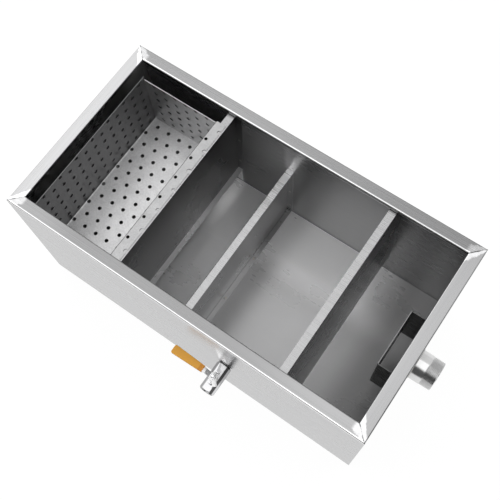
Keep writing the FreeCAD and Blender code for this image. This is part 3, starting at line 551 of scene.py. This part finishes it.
def basket_floor(x, y, z):
    """The floor under the basket, darkened with painted shade."""
    return x.fall(-0.152, -0.140)


def first_floor(x, y, z):
    """The floor between the inlet baffle and the weir, brightened with painted light."""
    return x.rise(-0.152, -0.137) * x.fall(-0.045, -0.03)


def back_floor(x, y, z):
    """The back part of the floor, less so before the weir, brightened with painted light."""
    return y.rise(0.02, 0.10) * (0.3 + x.rise(-0.03, -0.01) * 0.7)


def last_floor(x, y, z):
    """The floor beside the outlet, growing towards the wall, darkened with painted shade."""
    return x.rise(0.17, 0.25)


def hood_sides(x, y, z):
    """The short sides of the hood, darkened with painted shade."""
    return abs(y).rise(0.0455, 0.0461)


def pan_floor(x, y, z):
    """The bottom of the basket, brightened with painted light."""
    return z.fall(0.1546, 0.1556) * y.fall(0.1195, 0.1200)


def pan_side(x, y, z):
    """The basket's wall on the inlet side, darkened with painted shade."""
    return x.fall(-0.2732, -0.2728)


def pan_back(x, y, z):
    """The basket's back plate, brightened with painted light."""
    return y.rise(0.1198, 0.1202) * x.fall(-0.1330, -0.1322)


def bar_band(middle, width):
    """Mask of a band along the valve's bar, middle away from its axis, where a painted dark
    reflection lies.
    """
    return lambda x, y, z: abs(x - (VALVE_X + middle)).fall(width * 0.6, width)


def bar_ends(x, y, z):
    """The outermost edge of the valve's bar at both ends, darkened with painted shadow."""
    return (y.rise(-0.1650, -0.1642) + y.fall(-0.2112, -0.2104)).clamped()


# Meshes

def add_mesh(name, points, faces, material, body, sharp=35.0, second=None):
    """Make a mesh object from arrays and let it ride on a body.

    Second, if given, is (material, mask) for the faces that have another material.
    """
    mesh = bpy.data.meshes.new(name)
    mesh.from_pydata(np.asarray(points, float).tolist(), [], np.asarray(faces).tolist())
    mesh.shade_smooth()
    mesh.set_sharp_from_angle(angle=math.radians(sharp))
    mesh.materials.append(material)
    if second:
        mesh.materials.append(second[0])
        mesh.polygons.foreach_set("material_index", second[1].astype(np.int32))
    mesh.update()
    piece = bpy.data.objects.new(name, mesh)
    bpy.context.scene.collection.objects.link(piece)
    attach(piece, body)
    return piece


def grid_faces(rows, columns, wrap_rows=False, wrap_columns=False):
    """Quads over a grid of rows x columns points, closed round where asked."""
    row = np.arange(rows if wrap_rows else rows - 1)
    column = np.arange(columns if wrap_columns else columns - 1)
    a, b = np.meshgrid(row, column, indexing="ij")
    a, b = a.ravel(), b.ravel()
    next_a, next_b = (a + 1) % rows, (b + 1) % columns
    corners = (a * columns + b, next_a * columns + b,
               next_a * columns + next_b, a * columns + next_b)
    return np.stack(corners, axis=1)


# Basket

MOSTLY_BEYOND = 0.3
SQUEEZED_ROW, SQUEEZED_SHARE = (0.386, 0.392), 0.8


def cell_boundary(long_steps=8, short_steps=4):
    """Points round a unit square, from its lower left corner, without the last.

    With twice the steps on its long sides, a row shifted by half a cell shares its points.
    """
    run, rise = (np.arange(steps) / steps - 0.5 for steps in (long_steps, short_steps))
    run_half, rise_half = np.full(long_steps, 0.5), np.full(short_steps, 0.5)
    return (np.concatenate([run, rise_half, -run, -rise_half]),
            np.concatenate([-run_half, rise, run_half, -rise]))


def perforated(cells, along_of, across_of, limits, radius, folds=(), shy=(1.0, 0.0)):
    """Flat pattern of a sheet with round holes, as points (u, v) and triangles.

    Each hole has a cell, and the metal lies between the circle and the cell's edge. Points
    beyond the sheet's limits are moved onto them, so a hole there is cut straight, and one
    that lies mostly beyond shrinks to nothing. The pattern is cut along the lines u = fold.
    Holes between the two values of shy are drawn narrower, as a fold has squeezed them.
    """
    (low_u, high_u), (low_v, high_v) = limits
    q, p = cells[:, 0], cells[:, 1]
    edge_q, edge_p = cell_boundary()
    edge = np.stack([along_of(q[:, None] + edge_q), across_of(p[:, None] + edge_p)], axis=2)
    centre = np.stack([along_of(q), across_of(p)], axis=1)[:, None, :]
    way = edge - centre
    slack = radius * MOSTLY_BEYOND
    u, v = centre[:, 0].T
    inside = ((u > low_u - slack) & (u < high_u + slack)
              & (v > low_v - slack) & (v < high_v + slack))
    small = (u > shy[0]) & (u < shy[1])
    size = np.where(inside, np.where(small, radius * SQUEEZED_SHARE, radius), 0.0)[:, None, None]
    circle = centre + way / np.linalg.norm(way, axis=2, keepdims=True) * size
    points = np.stack([circle, edge], axis=1)
    points[..., 0] = np.clip(points[..., 0], low_u, high_u)
    points[..., 1] = np.clip(points[..., 1], low_v, high_v)
    count = edge_q.size
    quads = grid_faces(2, count, wrap_columns=True)[:, ::-1]
    start = np.arange(len(cells))[:, None, None] * (2 * count)
    quads = (quads[None] + start).reshape(-1, 4)
    triangles = np.concatenate([quads[:, (0, 1, 2)], quads[:, (0, 2, 3)]])
    return cut_along(*tidy(points.reshape(-1, 2), triangles), folds)


def cut_along(points, triangles, folds):
    """A flat pattern cut along the lines u = fold: its points and triangles."""
    flat = bpy.data.meshes.new("pattern")
    level = np.column_stack([points, np.zeros(len(points))])
    flat.from_pydata(level.tolist(), [], triangles.tolist())
    work = bmesh.new()
    work.from_mesh(flat)
    for fold in folds:
        bmesh.ops.bisect_plane(work, geom=[*work.verts, *work.edges, *work.faces], dist=1e-7,
                               plane_co=(fold, 0, 0), plane_no=(1, 0, 0))
    bmesh.ops.triangulate(work, faces=work.faces[:])
    work.to_mesh(flat)
    work.free()
    where = np.empty(len(flat.vertices) * 3)
    flat.vertices.foreach_get("co", where)
    corners = np.empty(len(flat.loops), dtype=np.int32)
    flat.loops.foreach_get("vertex_index", corners)
    bpy.data.meshes.remove(flat)
    return where.reshape(-1, 3)[:, :2], corners.reshape(-1, 3)


def tidy(points, triangles):
    """Merge points that coincide and drop triangles with no area."""
    keys = np.round(points * 1e7).astype(np.int64)
    _, first, back = np.unique(keys, axis=0, return_index=True, return_inverse=True)
    points, triangles = points[first], back.reshape(-1)[triangles]
    a, b, c = (points[triangles[:, i]] for i in range(3))
    area = (b[:, 0] - a[:, 0]) * (c[:, 1] - a[:, 1]) - (b[:, 1] - a[:, 1]) * (c[:, 0] - a[:, 0])
    kept = triangles[np.abs(area) > 1e-12]
    used, back = np.unique(kept, return_inverse=True)
    return points[used], back.reshape(-1, 3)


def thicken(points, normals, triangles, thickness):
    """Close an open sheet: a copy moved against its normals and a wall round each border.

    Border edges are those that only one triangle has.
    """
    count = len(points)
    ends = np.concatenate([triangles[:, (0, 1)], triangles[:, (1, 2)], triangles[:, (2, 0)]])
    keys = np.sort(ends, axis=1)
    _, first, uses = np.unique(keys, axis=0, return_index=True, return_counts=True)
    a, b = ends[first[uses == 1]].T
    faces = np.concatenate([triangles, triangles[:, ::-1] + count,
                            np.stack([b, a, a + count], axis=1),
                            np.stack([b, a + count, b + count], axis=1)])
    return np.concatenate([points, points - normals * thickness]), faces


def punched_faces(flat, limits, faces):
    """True for the side faces of the holes, which have no corner on the sheet's limits."""
    on_limit = (np.abs(flat[:, :, None] - np.array(limits)) < 1e-6).any(axis=(1, 2))
    upper, owner = faces >= len(flat), faces % len(flat)
    side = upper.any(axis=1) & ~upper.all(axis=1)
    return side & ~on_limit[owner].any(axis=1)


class FoldedLine:
    """Section of a folded sheet: its heading turns evenly in the folds.

    The place at a length along it is the running sum of (cos heading, sin heading).
    """

    def __init__(self, start, heading, runs):
        length, headings = [0.0], [heading]
        for run, turn in runs:
            length.append(length[-1] + run)
            headings.append(headings[-1] + turn)
        self.total = length[-1]
        turned = [(a, b) for a, b, (_, turn) in zip(length, length[1:], runs) if turn]
        self.folds = [a + (b - a) * share / 4 for a, b in turned for share in range(5)]
        self.table = np.linspace(0.0, self.total, 20001)
        self.angles = np.radians(np.interp(self.table, length, headings))
        step = self.table[1]
        way = np.stack([np.cos(self.angles), np.sin(self.angles)], axis=1)
        middle = (way[1:] + way[:-1]) / 2 * step
        self.place = np.concatenate([[start], start + np.cumsum(middle, axis=0)])

    def at(self, length):
        """Places (x, z) and normals on the right of the way."""
        x = np.interp(length, self.table, self.place[:, 0])
        z = np.interp(length, self.table, self.place[:, 1])
        angle = np.interp(length, self.table, self.angles)
        return x, z, np.sin(angle), -np.cos(angle)


PAN_LEFT, PAN_RIGHT = -0.2745, -0.1312
PAN_TOP, PAN_BOTTOM = 0.2765, 0.1535
PAN_FRONT, PAN_BACK = -0.1412, 0.1213
HOOK_END = -0.1144
FOLD = 0.003
PAN_HOLES_Q = (-9.22, -4.0, -3.595, 2.454, 9.14)
PAN_HOLES_U = (0.0, 0.1139, 0.12471, 0.26201, 0.4027)
MIDDLE_ROW = -0.0092


def make_pan(settings, material, edge):
    """The folded perforated sheet with its hook."""
    t = settings.sheet
    quarter = math.pi / 2
    runs = [(PAN_TOP - PAN_BOTTOM - FOLD, 0), (FOLD * quarter, 90),
            (PAN_RIGHT - PAN_LEFT - 2 * FOLD, 0), (FOLD * quarter, 90),
            (PAN_TOP - t - PAN_BOTTOM - FOLD - (FOLD - t), 0), ((FOLD - t) * quarter, -90),
            (HOOK_END - PAN_RIGHT - (FOLD - t), 0)]
    line = FoldedLine((PAN_LEFT, PAN_TOP), -90.0, runs)
    cells = np.array([(column + (0.5 if row % 2 else 0.0), row)
                      for row in range(-8, 8) for column in range(-10, 11)], float)
    limits = ((0.0, line.total), (PAN_FRONT, PAN_BACK))
    flat, triangles = perforated(
        cells, lambda q: np.interp(q, *extended(PAN_HOLES_Q, PAN_HOLES_U)),
        lambda p: MIDDLE_ROW + p * settings.row_step, limits, settings.hole / 2, line.folds,
        SQUEEZED_ROW)
    x, z, normal_x, normal_z = line.at(flat[:, 0])
    points = np.stack([x, flat[:, 1], z], axis=1)
    normals = np.stack([normal_x, np.zeros_like(x), normal_z], axis=1)
    points, faces = thicken(points, normals, triangles, t)
    piece = add_mesh("basket_pan_sheet", points, faces, material, TANK,
                     second=(edge, punched_faces(flat, limits, faces)))
    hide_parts("basket_pan")


def extended(places, lengths):
    """The two lists with one more stop at each end, on the same slopes."""
    low = (lengths[1] - lengths[0]) / (places[1] - places[0])
    high = (lengths[-1] - lengths[-2]) / (places[-1] - places[-2])
    return ([places[0] - 3, *places, places[-1] + 3],
            [lengths[0] - 3 * low, *lengths, lengths[-1] + 3 * high])


END_FIRST = (-0.25403, 0.16475)
END_TOP = 0.2705
TOP_ROW, TOP_ROW_DROP = 5, 0.0007


def make_end(name, node, level, settings, material, edge):
    """A flat perforated end plate; level is the y of its front face."""
    t = settings.sheet
    cells = np.array([(a, b) for a in range(-2, 8) for b in range(-2, 8)], float)
    limits = ((PAN_LEFT + t, PAN_RIGHT - t), (PAN_BOTTOM + t, END_TOP))
    flat, triangles = perforated(
        cells, lambda q: END_FIRST[0] + q * settings.end_pitch,
        lambda p: END_FIRST[1] + p * settings.end_pitch - TOP_ROW_DROP * (p > TOP_ROW - 0.3),
        limits, settings.hole / 2)
    points = np.stack([flat[:, 0], np.full(len(flat), level), flat[:, 1]], axis=1)
    normals = np.tile((0.0, -1.0, 0.0), (len(flat), 1))
    points, faces = thicken(points, normals, triangles, t)
    piece = add_mesh(name, points, faces, material, TANK,
                     second=(edge, punched_faces(flat, limits, faces)))
    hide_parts(node)


# Pipe and welds

PIPE_AXIS = 0.162
PIPE_SIDES = 96
PIPE_RADIUS, PIPE_BORE = 0.02415, 0.02115
PIPE_START, THREAD_START, PIPE_END = 0.3088, 0.329, 0.348
THREAD_RADIUS, STEPS_PER_TURN = 0.0239, 12
FADE_IN, FADE_OUT = 0.003, 0.0005
BEVEL_LENGTH, BEVEL_DEPTH, MOUTH_RADIUS = 0.001, 0.0009, 0.0228
BEAD_PLACE, BEAD_TURNS, BEAD_SIDES = 0.3106, 192, 12
RIPPLES, RIPPLE_SHARE = 64, 0.12


def around_x(radius, angle, x):
    """Points on rings round the pipe's axis: (x, r cos, height + r sin)."""
    return np.stack([np.broadcast_to(x, radius.shape), radius * np.cos(angle),
                     PIPE_AXIS + radius * np.sin(angle)], axis=-1)


def make_pipe(settings, material):
    """The pipe end with its thread.

    The thread's radius falls below its crest by depth x (1 - cos(turns x 2 pi)) / 2,
    where turns = x / pitch - angle / (2 pi), and it fades in and out at its ends.
    """
    angles = np.linspace(0, 2 * np.pi, PIPE_SIDES, endpoint=False)
    x = np.concatenate([[PIPE_START, 0.318, THREAD_START - 0.0006],
                        np.arange(THREAD_START, PIPE_END - 0.0002,
                                  settings.thread_pitch / STEPS_PER_TURN),
                        [PIPE_END - 0.0001]])[:, None]
    turns = x / settings.thread_pitch - angles[None] / (2 * np.pi)
    groove = (1 - np.cos(turns * 2 * np.pi)) / 2
    fade = (np.clip((x - THREAD_START) / FADE_IN, 0, 1)
            * np.clip((PIPE_END - x) / FADE_OUT, 0, 1))
    plain = np.where(x < THREAD_START - 0.0001, PIPE_RADIUS, THREAD_RADIUS)
    bevel = np.clip((x - (PIPE_END - BEVEL_LENGTH)) / BEVEL_LENGTH, 0, 1) * BEVEL_DEPTH
    outer = plain - settings.thread_depth * groove * fade - bevel
    rows = [around_x(outer, angles[None], x)]
    for place, radius in ((PIPE_END, MOUTH_RADIUS), (PIPE_END, PIPE_BORE + 0.0005),
                          (PIPE_END - 0.0006, PIPE_BORE), (0.328, PIPE_BORE),
                          (PIPE_START, PIPE_BORE)):
        ring = np.ones((1, PIPE_SIDES))
        rows.append(around_x(ring * radius, angles[None], ring * place))
    points = np.concatenate(rows)
    faces = grid_faces(len(points), PIPE_SIDES, wrap_rows=True, wrap_columns=True)
    piece = add_mesh("outlet_pipe_threaded", points.reshape(-1, 3), faces, material, TANK)
    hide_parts("outlet_pipe")


def make_pipe_weld(settings, material):
    """A rippled bead round the pipe where it leaves the wall.

    It is a ring whose small radius swells by an eighth with sin(64 x angle).
    """
    turn = np.linspace(0, 2 * np.pi, BEAD_TURNS, endpoint=False)[:, None]
    small = np.linspace(0, 2 * np.pi, BEAD_SIDES, endpoint=False)[None]
    bead = settings.bead * (1 + RIPPLE_SHARE * np.sin(RIPPLES * turn))
    radius = PIPE_RADIUS + 0.0003 + bead * np.cos(small)
    points = around_x(radius, turn, BEAD_PLACE + bead * np.sin(small))
    faces = grid_faces(BEAD_TURNS, BEAD_SIDES, wrap_rows=True, wrap_columns=True)[:, ::-1]
    piece = add_mesh("outlet_pipe_weld", points.reshape(-1, 3), faces, material, TANK, 60)


TAB_MIDDLE, TAB_FACE = 0.0065, 0.1596


def spot_marks():
    """Places and facing of the spot welds on the baffles' tabs and the weir's foot."""
    marks = []
    for web, top, low, lean, side in ((-0.125, TALL_BAFFLE_TOP, 0.05, -0.011, 1),
                                      (-0.0285, WEIR_TOP, 0.0012, 0.0, 1),
                                      (0.176, TALL_BAFFLE_TOP, 0.058, 0.004, -1)):
        for share in (0.16, 0.5, 0.84):
            height = low + (top - low) * share
            x = web + lean * (1 - share) + TAB_MIDDLE * side
            for wall in (-1, 1):
                marks.append(((x, TAB_FACE * wall, height), (0, -wall, 0)))
    for y in (-0.13, -0.045, 0.045, 0.13):
        marks.append(((-0.0225, y, 0.0024), (0, 0, 1)))
    return marks


def make_spot_welds(settings, material):
    """Shallow rings with a dished middle, all in one mesh.

    Height over the sheet is 0.02 mm + 0.16 mm x sin(pi x share of the way out)^2. The rim
    and the underside lie 0.2 mm below the sheet's face.
    """
    share = np.array([1.0, 0.93, 0.8, 0.66, 0.5, 0.3, 0.12])[:, None]
    rings, sides, sunk = len(share), 20, -0.0002
    turn = np.linspace(0, 2 * np.pi, sides, endpoint=False)[None]
    height = 0.00016 * np.sin(np.pi * share) ** 2 + 0.00002
    height[0] = sunk
    radius = settings.spot / 2 * share
    flat = np.stack([radius * np.cos(turn), radius * np.sin(turn),
                     np.broadcast_to(height, (rings, sides))], axis=-1).reshape(-1, 3)
    top, bottom = len(flat), len(flat) + 1
    flat = np.concatenate([flat, [(0, 0, 0.00003), (0, 0, sunk)]])
    ring = grid_faces(rings, sides, wrap_columns=True)[:, ::-1]
    around = np.arange(sides)
    after = (around + 1) % sides
    inner = (rings - 1) * sides
    cap = np.stack([np.full(sides, top), inner + around, inner + after], axis=1)
    under = np.stack([np.full(sides, bottom), after, around], axis=1)
    triangles = np.concatenate([ring[:, (0, 1, 2)], ring[:, (0, 2, 3)], cap, under])
    points, faces = [], []
    for index, (centre, facing) in enumerate(spot_marks()):
        turned = np.array(Vector((0, 0, 1)).rotation_difference(Vector(facing)).to_matrix())
        points.append(flat @ turned.T + np.array(centre))
        faces.append(triangles + index * len(flat))
    piece = add_mesh("spot_welds", np.concatenate(points), np.concatenate(faces), material,
                     TANK, 80)


def make_floor_weld(material):
    """A hollow fillet all round the floor's edge.

    Its section is the corner point and a quarter circle of 1.2 mm whose centre is off the
    walls; the section runs round the rectangle of the floor.
    """
    half_x, half_y, level, size = 0.3088, 0.1608, 0.0012, 0.0012
    sink = 0.0002
    turn = np.linspace(0, math.pi / 2, 7)
    inward = np.concatenate([[-sink, size], size - size * np.sin(turn[1:]), [-sink]])
    height = np.concatenate([[-sink, -sink], size - size * np.cos(turn[1:]), [size]])
    corners = np.array([(-1, -1), (1, -1), (1, 1), (-1, 1)])
    x = corners[:, :1] * (half_x - inward[None])
    y = corners[:, 1:] * (half_y - inward[None])
    z = np.broadcast_to(level + height[None], x.shape)
    points = np.stack([x, y, z], axis=-1)
    faces = grid_faces(4, inward.size, wrap_rows=True, wrap_columns=True)
    piece = add_mesh("floor_weld", points.reshape(-1, 3), faces, material, TANK, 40)


# Softened copies of CAD pieces

def soften(node, width, material, body):
    """A copy of a CAD node with its loose triangles merged and its edges rounded."""
    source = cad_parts[node]
    mesh = source.data.copy()
    mesh.name = node + "_finished"
    work = bmesh.new()
    work.from_mesh(mesh)
    bmesh.ops.remove_doubles(work, verts=work.verts, dist=1e-6)
    bmesh.ops.dissolve_limit(work, angle_limit=math.radians(1.0), verts=work.verts,
                             edges=work.edges)
    work.to_mesh(mesh)
    work.free()
    mesh.materials.clear()
    mesh.materials.append(material)
    mesh.shade_smooth()
    piece = bpy.data.objects.new(node + "_finished", mesh)
    bpy.context.scene.collection.objects.link(piece)
    bevel = piece.modifiers.new("Rounded edges", "BEVEL")
    bevel.width = width
    bevel.segments = 2
    bevel.limit_method = "ANGLE"
    bevel.angle_limit = math.radians(28)
    bevel.harden_normals = True
    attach(piece, body)
    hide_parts(node)


def paint(node, material):
    """Give a CAD node a material in every slot."""
    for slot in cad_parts[node].material_slots:
        slot.link = "OBJECT"
        slot.material = material


# Operators

class TRAP_OT_panels(bpy.types.Operator):
    """Finish the box's panels, baffles, hood and ledge"""
    bl_idname = "trap.panels"
    bl_label = "Box and baffles"

    def execute(self, context):
        look = context.scene.trap_finish
        colour, rough = list(look.steel), look.steel_roughness
        # The corner zones are the real ground welds and seams. Every other zone factor below is
        # painted light (above 1) or painted shade (below 1) in the base colour.
        corner = [(ground_corner, 1.9), (mitre_seam, 0.25)]
        long_wall = sheet_steel(
            "wall_steel_lengthwise", colour, rough, spread=0.12, brushed=smooth_inside,
            zones=[(outer_face, 1.40), (outer_fold, 2.7), (lip_edge, 2.2), (far_rim, 0.72),
                   (near_rim, 1.15), (near_middle, 0.86), (basket_bay, 9.0), (weir_bay, 0.52),
                   (weir_bay_top, 2.5), (middle_bay, 0.70), (painted_baffle_shade, 0.42),
                   (back_end, 1.4), (painted_weir_reflection, 1.8), (painted_valve_reflection, 2.1), *corner])
        end_wall = sheet_steel(
            "wall_steel_crosswise", colour, rough, grain="y", spread=0.12,
            brushed=smooth_inside,
            zones=[(inlet_rim, 0.97), (outlet_rim, 1.15), (side_fold, 1.6), (basket_bay, 1.3),
                   (outlet_inside, 1.3), *corner])
        floor = sheet_steel(
            "floor_steel", [value * 1.38 for value in colour], rough, grain="soft",
            streak=0.012, cloud=0.12, spread=0.0, metallic=0.42,
            zones=[(first_floor, 1.95), (basket_floor, 0.2), (back_floor, 2.5),
                   (last_floor, 0.40)])
        tall_flange, low_flange = above(TALL_BAFFLE_TOP), above(WEIR_TOP)
        tall = sheet_steel(
            "tall_baffle_steel", colour, rough, streak=0.14, spread=0.16, edge=0.6,
            brushed=tall_flange, dull=lower_edge,
            zones=[(tall_flange, 1.2), (inlet_web, 0.30), (outlet_web, 2.0), (web_back, 1.8),
                   (web_low, 1.45), (lower_edge, 9.0)])
        low = sheet_steel(
            "low_baffle_steel", colour, rough, streak=0.14, spread=0.16,
            brushed=low_flange, dull=flange_end,
            zones=[(low_flange, 1.25), (flange_end, 3.4), (weir_web, 0.85), (weir_foot, 1.6)])
        plain = sheet_steel("plain_steel", [value * 0.55 for value in colour], rough,
                            spread=0.03, zones=[(hood_sides, 0.5)])
        for nodes, material in ((("front_panel", "back_panel"), long_wall),
                                (("inlet_panel", "outlet_panel"), end_wall),
                                (("floor_plate",), floor), (("weir_baffle",), low),
                                (("inlet_baffle", "outlet_baffle"), tall),
                                (("outlet_hood", "basket_ledge"), plain)):
            for node in nodes:
                paint(node, material)
        make_floor_weld(sheet_steel("seam_steel", [value * 1.1 for value in colour], 0.3))
        return {"FINISHED"}


class TRAP_OT_basket(bpy.types.Operator):
    """Make the perforated basket"""
    bl_idname = "trap.basket"
    bl_label = "Perforated basket"

    def execute(self, context):
        sizes = context.scene.trap_basket
        # The pan's zones are painted light on its floor and back plate and painted shade on its
        # inlet wall. The hole sides get a near-black colour as painted shade.
        material = matt_sheet(
            "perforated_steel", (0.41, 0.41, 0.413), 0.36,
            zones=[(pan_floor, 1.95), (pan_side, 0.40), (pan_back, 1.3)], dull=pan_floor)
        edge = matt_sheet("punched_edge_painted_dark", (0.025, 0.025, 0.025), 0.6)
        make_pan(sizes, material, edge)
        make_end("basket_back_sheet", "basket_end_back", PAN_BACK - sizes.sheet, sizes,
                 material, edge)
        make_end("basket_front_sheet", "basket_end_front", PAN_FRONT, sizes, material, edge)
        return {"FINISHED"}


class TRAP_OT_pipe(bpy.types.Operator):
    """Make the threaded outlet pipe and its weld"""
    bl_idname = "trap.pipe"
    bl_label = "Outlet pipe"

    def execute(self, context):
        sizes = context.scene.trap_pipe
        steel = turned_steel("pipe_steel", (0.70, 0.70, 0.70), 0.20, (0, 0, PIPE_AXIS), 0)
        make_pipe(sizes, steel)
        weld = weld_metal("weld_metal")
        make_pipe_weld(sizes, weld)
        make_spot_welds(sizes, weld)
        return {"FINISHED"}


class TRAP_OT_valve(bpy.types.Operator):
    """Finish the draw-off valve"""
    bl_idname = "trap.valve"
    bl_label = "Draw-off valve"

    def execute(self, context):
        look = context.scene.trap_finish
        # The bar's zones are painted dark reflections along it and painted shadow at its ends.
        flow = turned_steel("valve_bar_steel", (0.67, 0.67, 0.68), 0.12, FLOW_AXIS, 1,
                            [(bar_band(0.0082, 0.0022), 0.12),
                             (bar_band(-0.0105, 0.0035), 0.5), (bar_ends, 0.2)])
        stem = turned_steel("valve_stem_steel", (0.75, 0.75, 0.76), 0.14, STEM_AXIS, 2)
        lever = sheet_steel("lever_steel", (0.88, 0.88, 0.88), 0.30, spread=0.04, metallic=0.5)
        soften("valve_body", 0.0003, flow, TANK)
        soften("gland_nut", 0.0003, stem, TANK)
        soften("valve_lever", 0.00035, lever, HANDLE)
        soften("lever_nut", 0.0003, stem, HANDLE)
        soften("lever_washer", 0.0001, stem, HANDLE)
        soften("valve_stem", 0.0001, stem, HANDLE)
        paint("valve_insert", flow)
        paint("valve_nipple", sheet_steel("nipple_steel", (0.97, 0.97, 0.97), 0.34, "y",
                                          metallic=0.35))
        paint("valve_ball", turned_steel("ball_mirror", (0.8, 0.8, 0.81), 0.06, STEM_AXIS, 2))
        seal = waxy_plastic("seal_plastic", list(look.seal))
        for node in ("inner_seat", "outer_seat", "stem_packing"):
            paint(node, seal)
        paint("grip_sleeve", grip_plastic("grip_plastic", list(look.grip)))
        return {"FINISHED"}


class TRAP_OT_stage(bpy.types.Operator):
    """Make the floor, light and camera"""
    bl_idname = "trap.stage"
    bl_label = "Stage"

    def execute(self, context):
        make_stage(context.scene.trap_stage)
        make_camera()
        return {"FINISHED"}


# Stage

CAMERA_PLACE = (0.29607624, -0.31571867, 1.31828253)
CAMERA_RIGHT = (0.81819379, 0.57306152, -0.04646962)
CAMERA_UP = (-0.52370974, 0.77619887, 0.35106042)
CAMERA_BACK = (0.23724889, -0.26289886, 0.93519899)
CAMERA_LENS = 56.098


def make_camera():
    """The camera, placed so that the box's corners line up with the photo."""
    data = bpy.data.cameras.new("camera")
    data.sensor_width = 36.0
    data.lens = CAMERA_LENS
    data.clip_start = 0.05
    data.clip_end = 50.0
    camera = bpy.data.objects.new("camera", data)
    axes = Matrix((CAMERA_RIGHT, CAMERA_UP, CAMERA_BACK))
    camera.matrix_world = Matrix.Translation(CAMERA_PLACE) @ axes.transposed().to_4x4()
    bpy.context.scene.collection.objects.link(camera)
    bpy.context.scene.camera = camera


def light_rays(graph):
    """The kinds of ray by name."""
    node = graph.add("ShaderNodeLightPath").socket.node
    return {out.name: Value(graph, out) for out in node.outputs}


def room_light(sky, level):
    """Light of the room by direction.

    A broad soft light overhead that reaches towards the inlet, a paler wall behind the
    object and at the inlet end, and little light from the front and the outlet end.
    """
    x, y, z = sky.axes(sky.add("ShaderNodeTexCoord"))
    overhead = (y.rise(-0.62, -0.34) * y.fall(0.36, 0.46)
                * x.rise(-0.92, -0.75) * x.fall(0.40, 0.62) * z.rise(0.0, 0.15))
    behind = y.rise(0.30, 0.44)
    inlet_side = x.fall(-0.85, -0.62)
    return level.dark + overhead * level.overhead + behind * level.behind \
        + inlet_side * level.inlet_side


FLOOR_WHITE, FLOOR_LEVEL = 1.04, -0.0005


def make_stage(level):
    """A white floor that keeps a soft shadow, and the room's light."""
    half = level.floor_size / 2
    corners = [(half * x, half * y, FLOOR_LEVEL)
               for x, y in ((-1, -1), (1, -1), (1, 1), (-1, 1))]
    mesh = bpy.data.meshes.new("floor")
    mesh.from_pydata(corners, [], [(0, 1, 2, 3)])
    floor = bpy.data.objects.new("studio_floor", mesh)
    bpy.context.scene.collection.objects.link(floor)
    material, graph = new_graph("studio_floor")
    rays = light_rays(graph)
    white = graph.add("ShaderNodeEmission", inputs={
        "Color": (1, 1, 1, 1), "Strength": rays["Is Camera Ray"] * (FLOOR_WHITE - level.bounce)
        + level.bounce})
    paper = graph.add("ShaderNodeBsdfDiffuse", inputs={"Color": (0.9, 0.9, 0.9, 1)})
    share = (rays["Is Camera Ray"] + rays["Is Glossy Ray"] + rays["Is Transmission Ray"]) \
        .clamped() * (1 - level.floor_shadow)
    mixed = graph.add("ShaderNodeMixShader", inputs={0: share, 1: paper, 2: white})
    graph.add("ShaderNodeOutputMaterial", inputs={"Surface": mixed})
    mesh.materials.append(material)
    material.cycles.emission_sampling = "NONE"

    world = bpy.data.worlds.new("studio_sky")
    world.use_nodes = True
    sky = Graph(world.node_tree)
    backdrop = sky.add("ShaderNodeBackground", inputs={"Color": (1, 1, 1, 1), "Strength": 1.0})
    room = sky.add("ShaderNodeBackground", inputs={"Color": (1, 1, 1, 1),
                                                   "Strength": room_light(sky, level)})
    camera_ray = light_rays(sky)["Is Camera Ray"]
    both = sky.add("ShaderNodeMixShader", inputs={0: camera_ray, 1: room, 2: backdrop})
    sky.add("ShaderNodeOutputWorld", inputs={"Surface": both})
    bpy.context.scene.world = world
    bpy.context.scene.view_settings.view_transform = "Standard"


# Panel and registration

class TRAP_PT_sidebar(bpy.types.Panel):
    """Lists the steps in the 3D view's sidebar"""
    bl_label = "Grease Trap"
    bl_idname = "TRAP_PT_sidebar"
    bl_space_type = "VIEW_3D"
    bl_region_type = "UI"
    bl_category = "Grease Trap"

    def draw(self, context):
        for step in STEPS:
            self.layout.operator(step.bl_idname)
        for group, _ in GROUPS:
            box = self.layout.box()
            data = getattr(context.scene, group)
            for name in data.__annotations__:
                box.prop(data, name)


GROUPS = (("trap_basket", BasketSettings), ("trap_pipe", PipeSettings),
          ("trap_finish", FinishSettings), ("trap_stage", StageSettings))
STEPS = (TRAP_OT_panels, TRAP_OT_basket, TRAP_OT_pipe, TRAP_OT_valve, TRAP_OT_stage)


def register():
    for _, group in GROUPS:
        bpy.utils.register_class(group)
    for step in (*STEPS, TRAP_PT_sidebar):
        bpy.utils.register_class(step)
    for name, group in GROUPS:
        setattr(bpy.types.Scene, name, PointerProperty(type=group))


def unregister():
    for name, _ in GROUPS:
        delattr(bpy.types.Scene, name)
    for step in (TRAP_PT_sidebar, *reversed(STEPS)):
        bpy.utils.unregister_class(step)
    for _, group in reversed(GROUPS):
        bpy.utils.unregister_class(group)


def main():
    register()
    for step in STEPS:
        family, name = step.bl_idname.split(".")
        getattr(getattr(bpy.ops, family), name)()


if __name__ == "__main__":
    main()
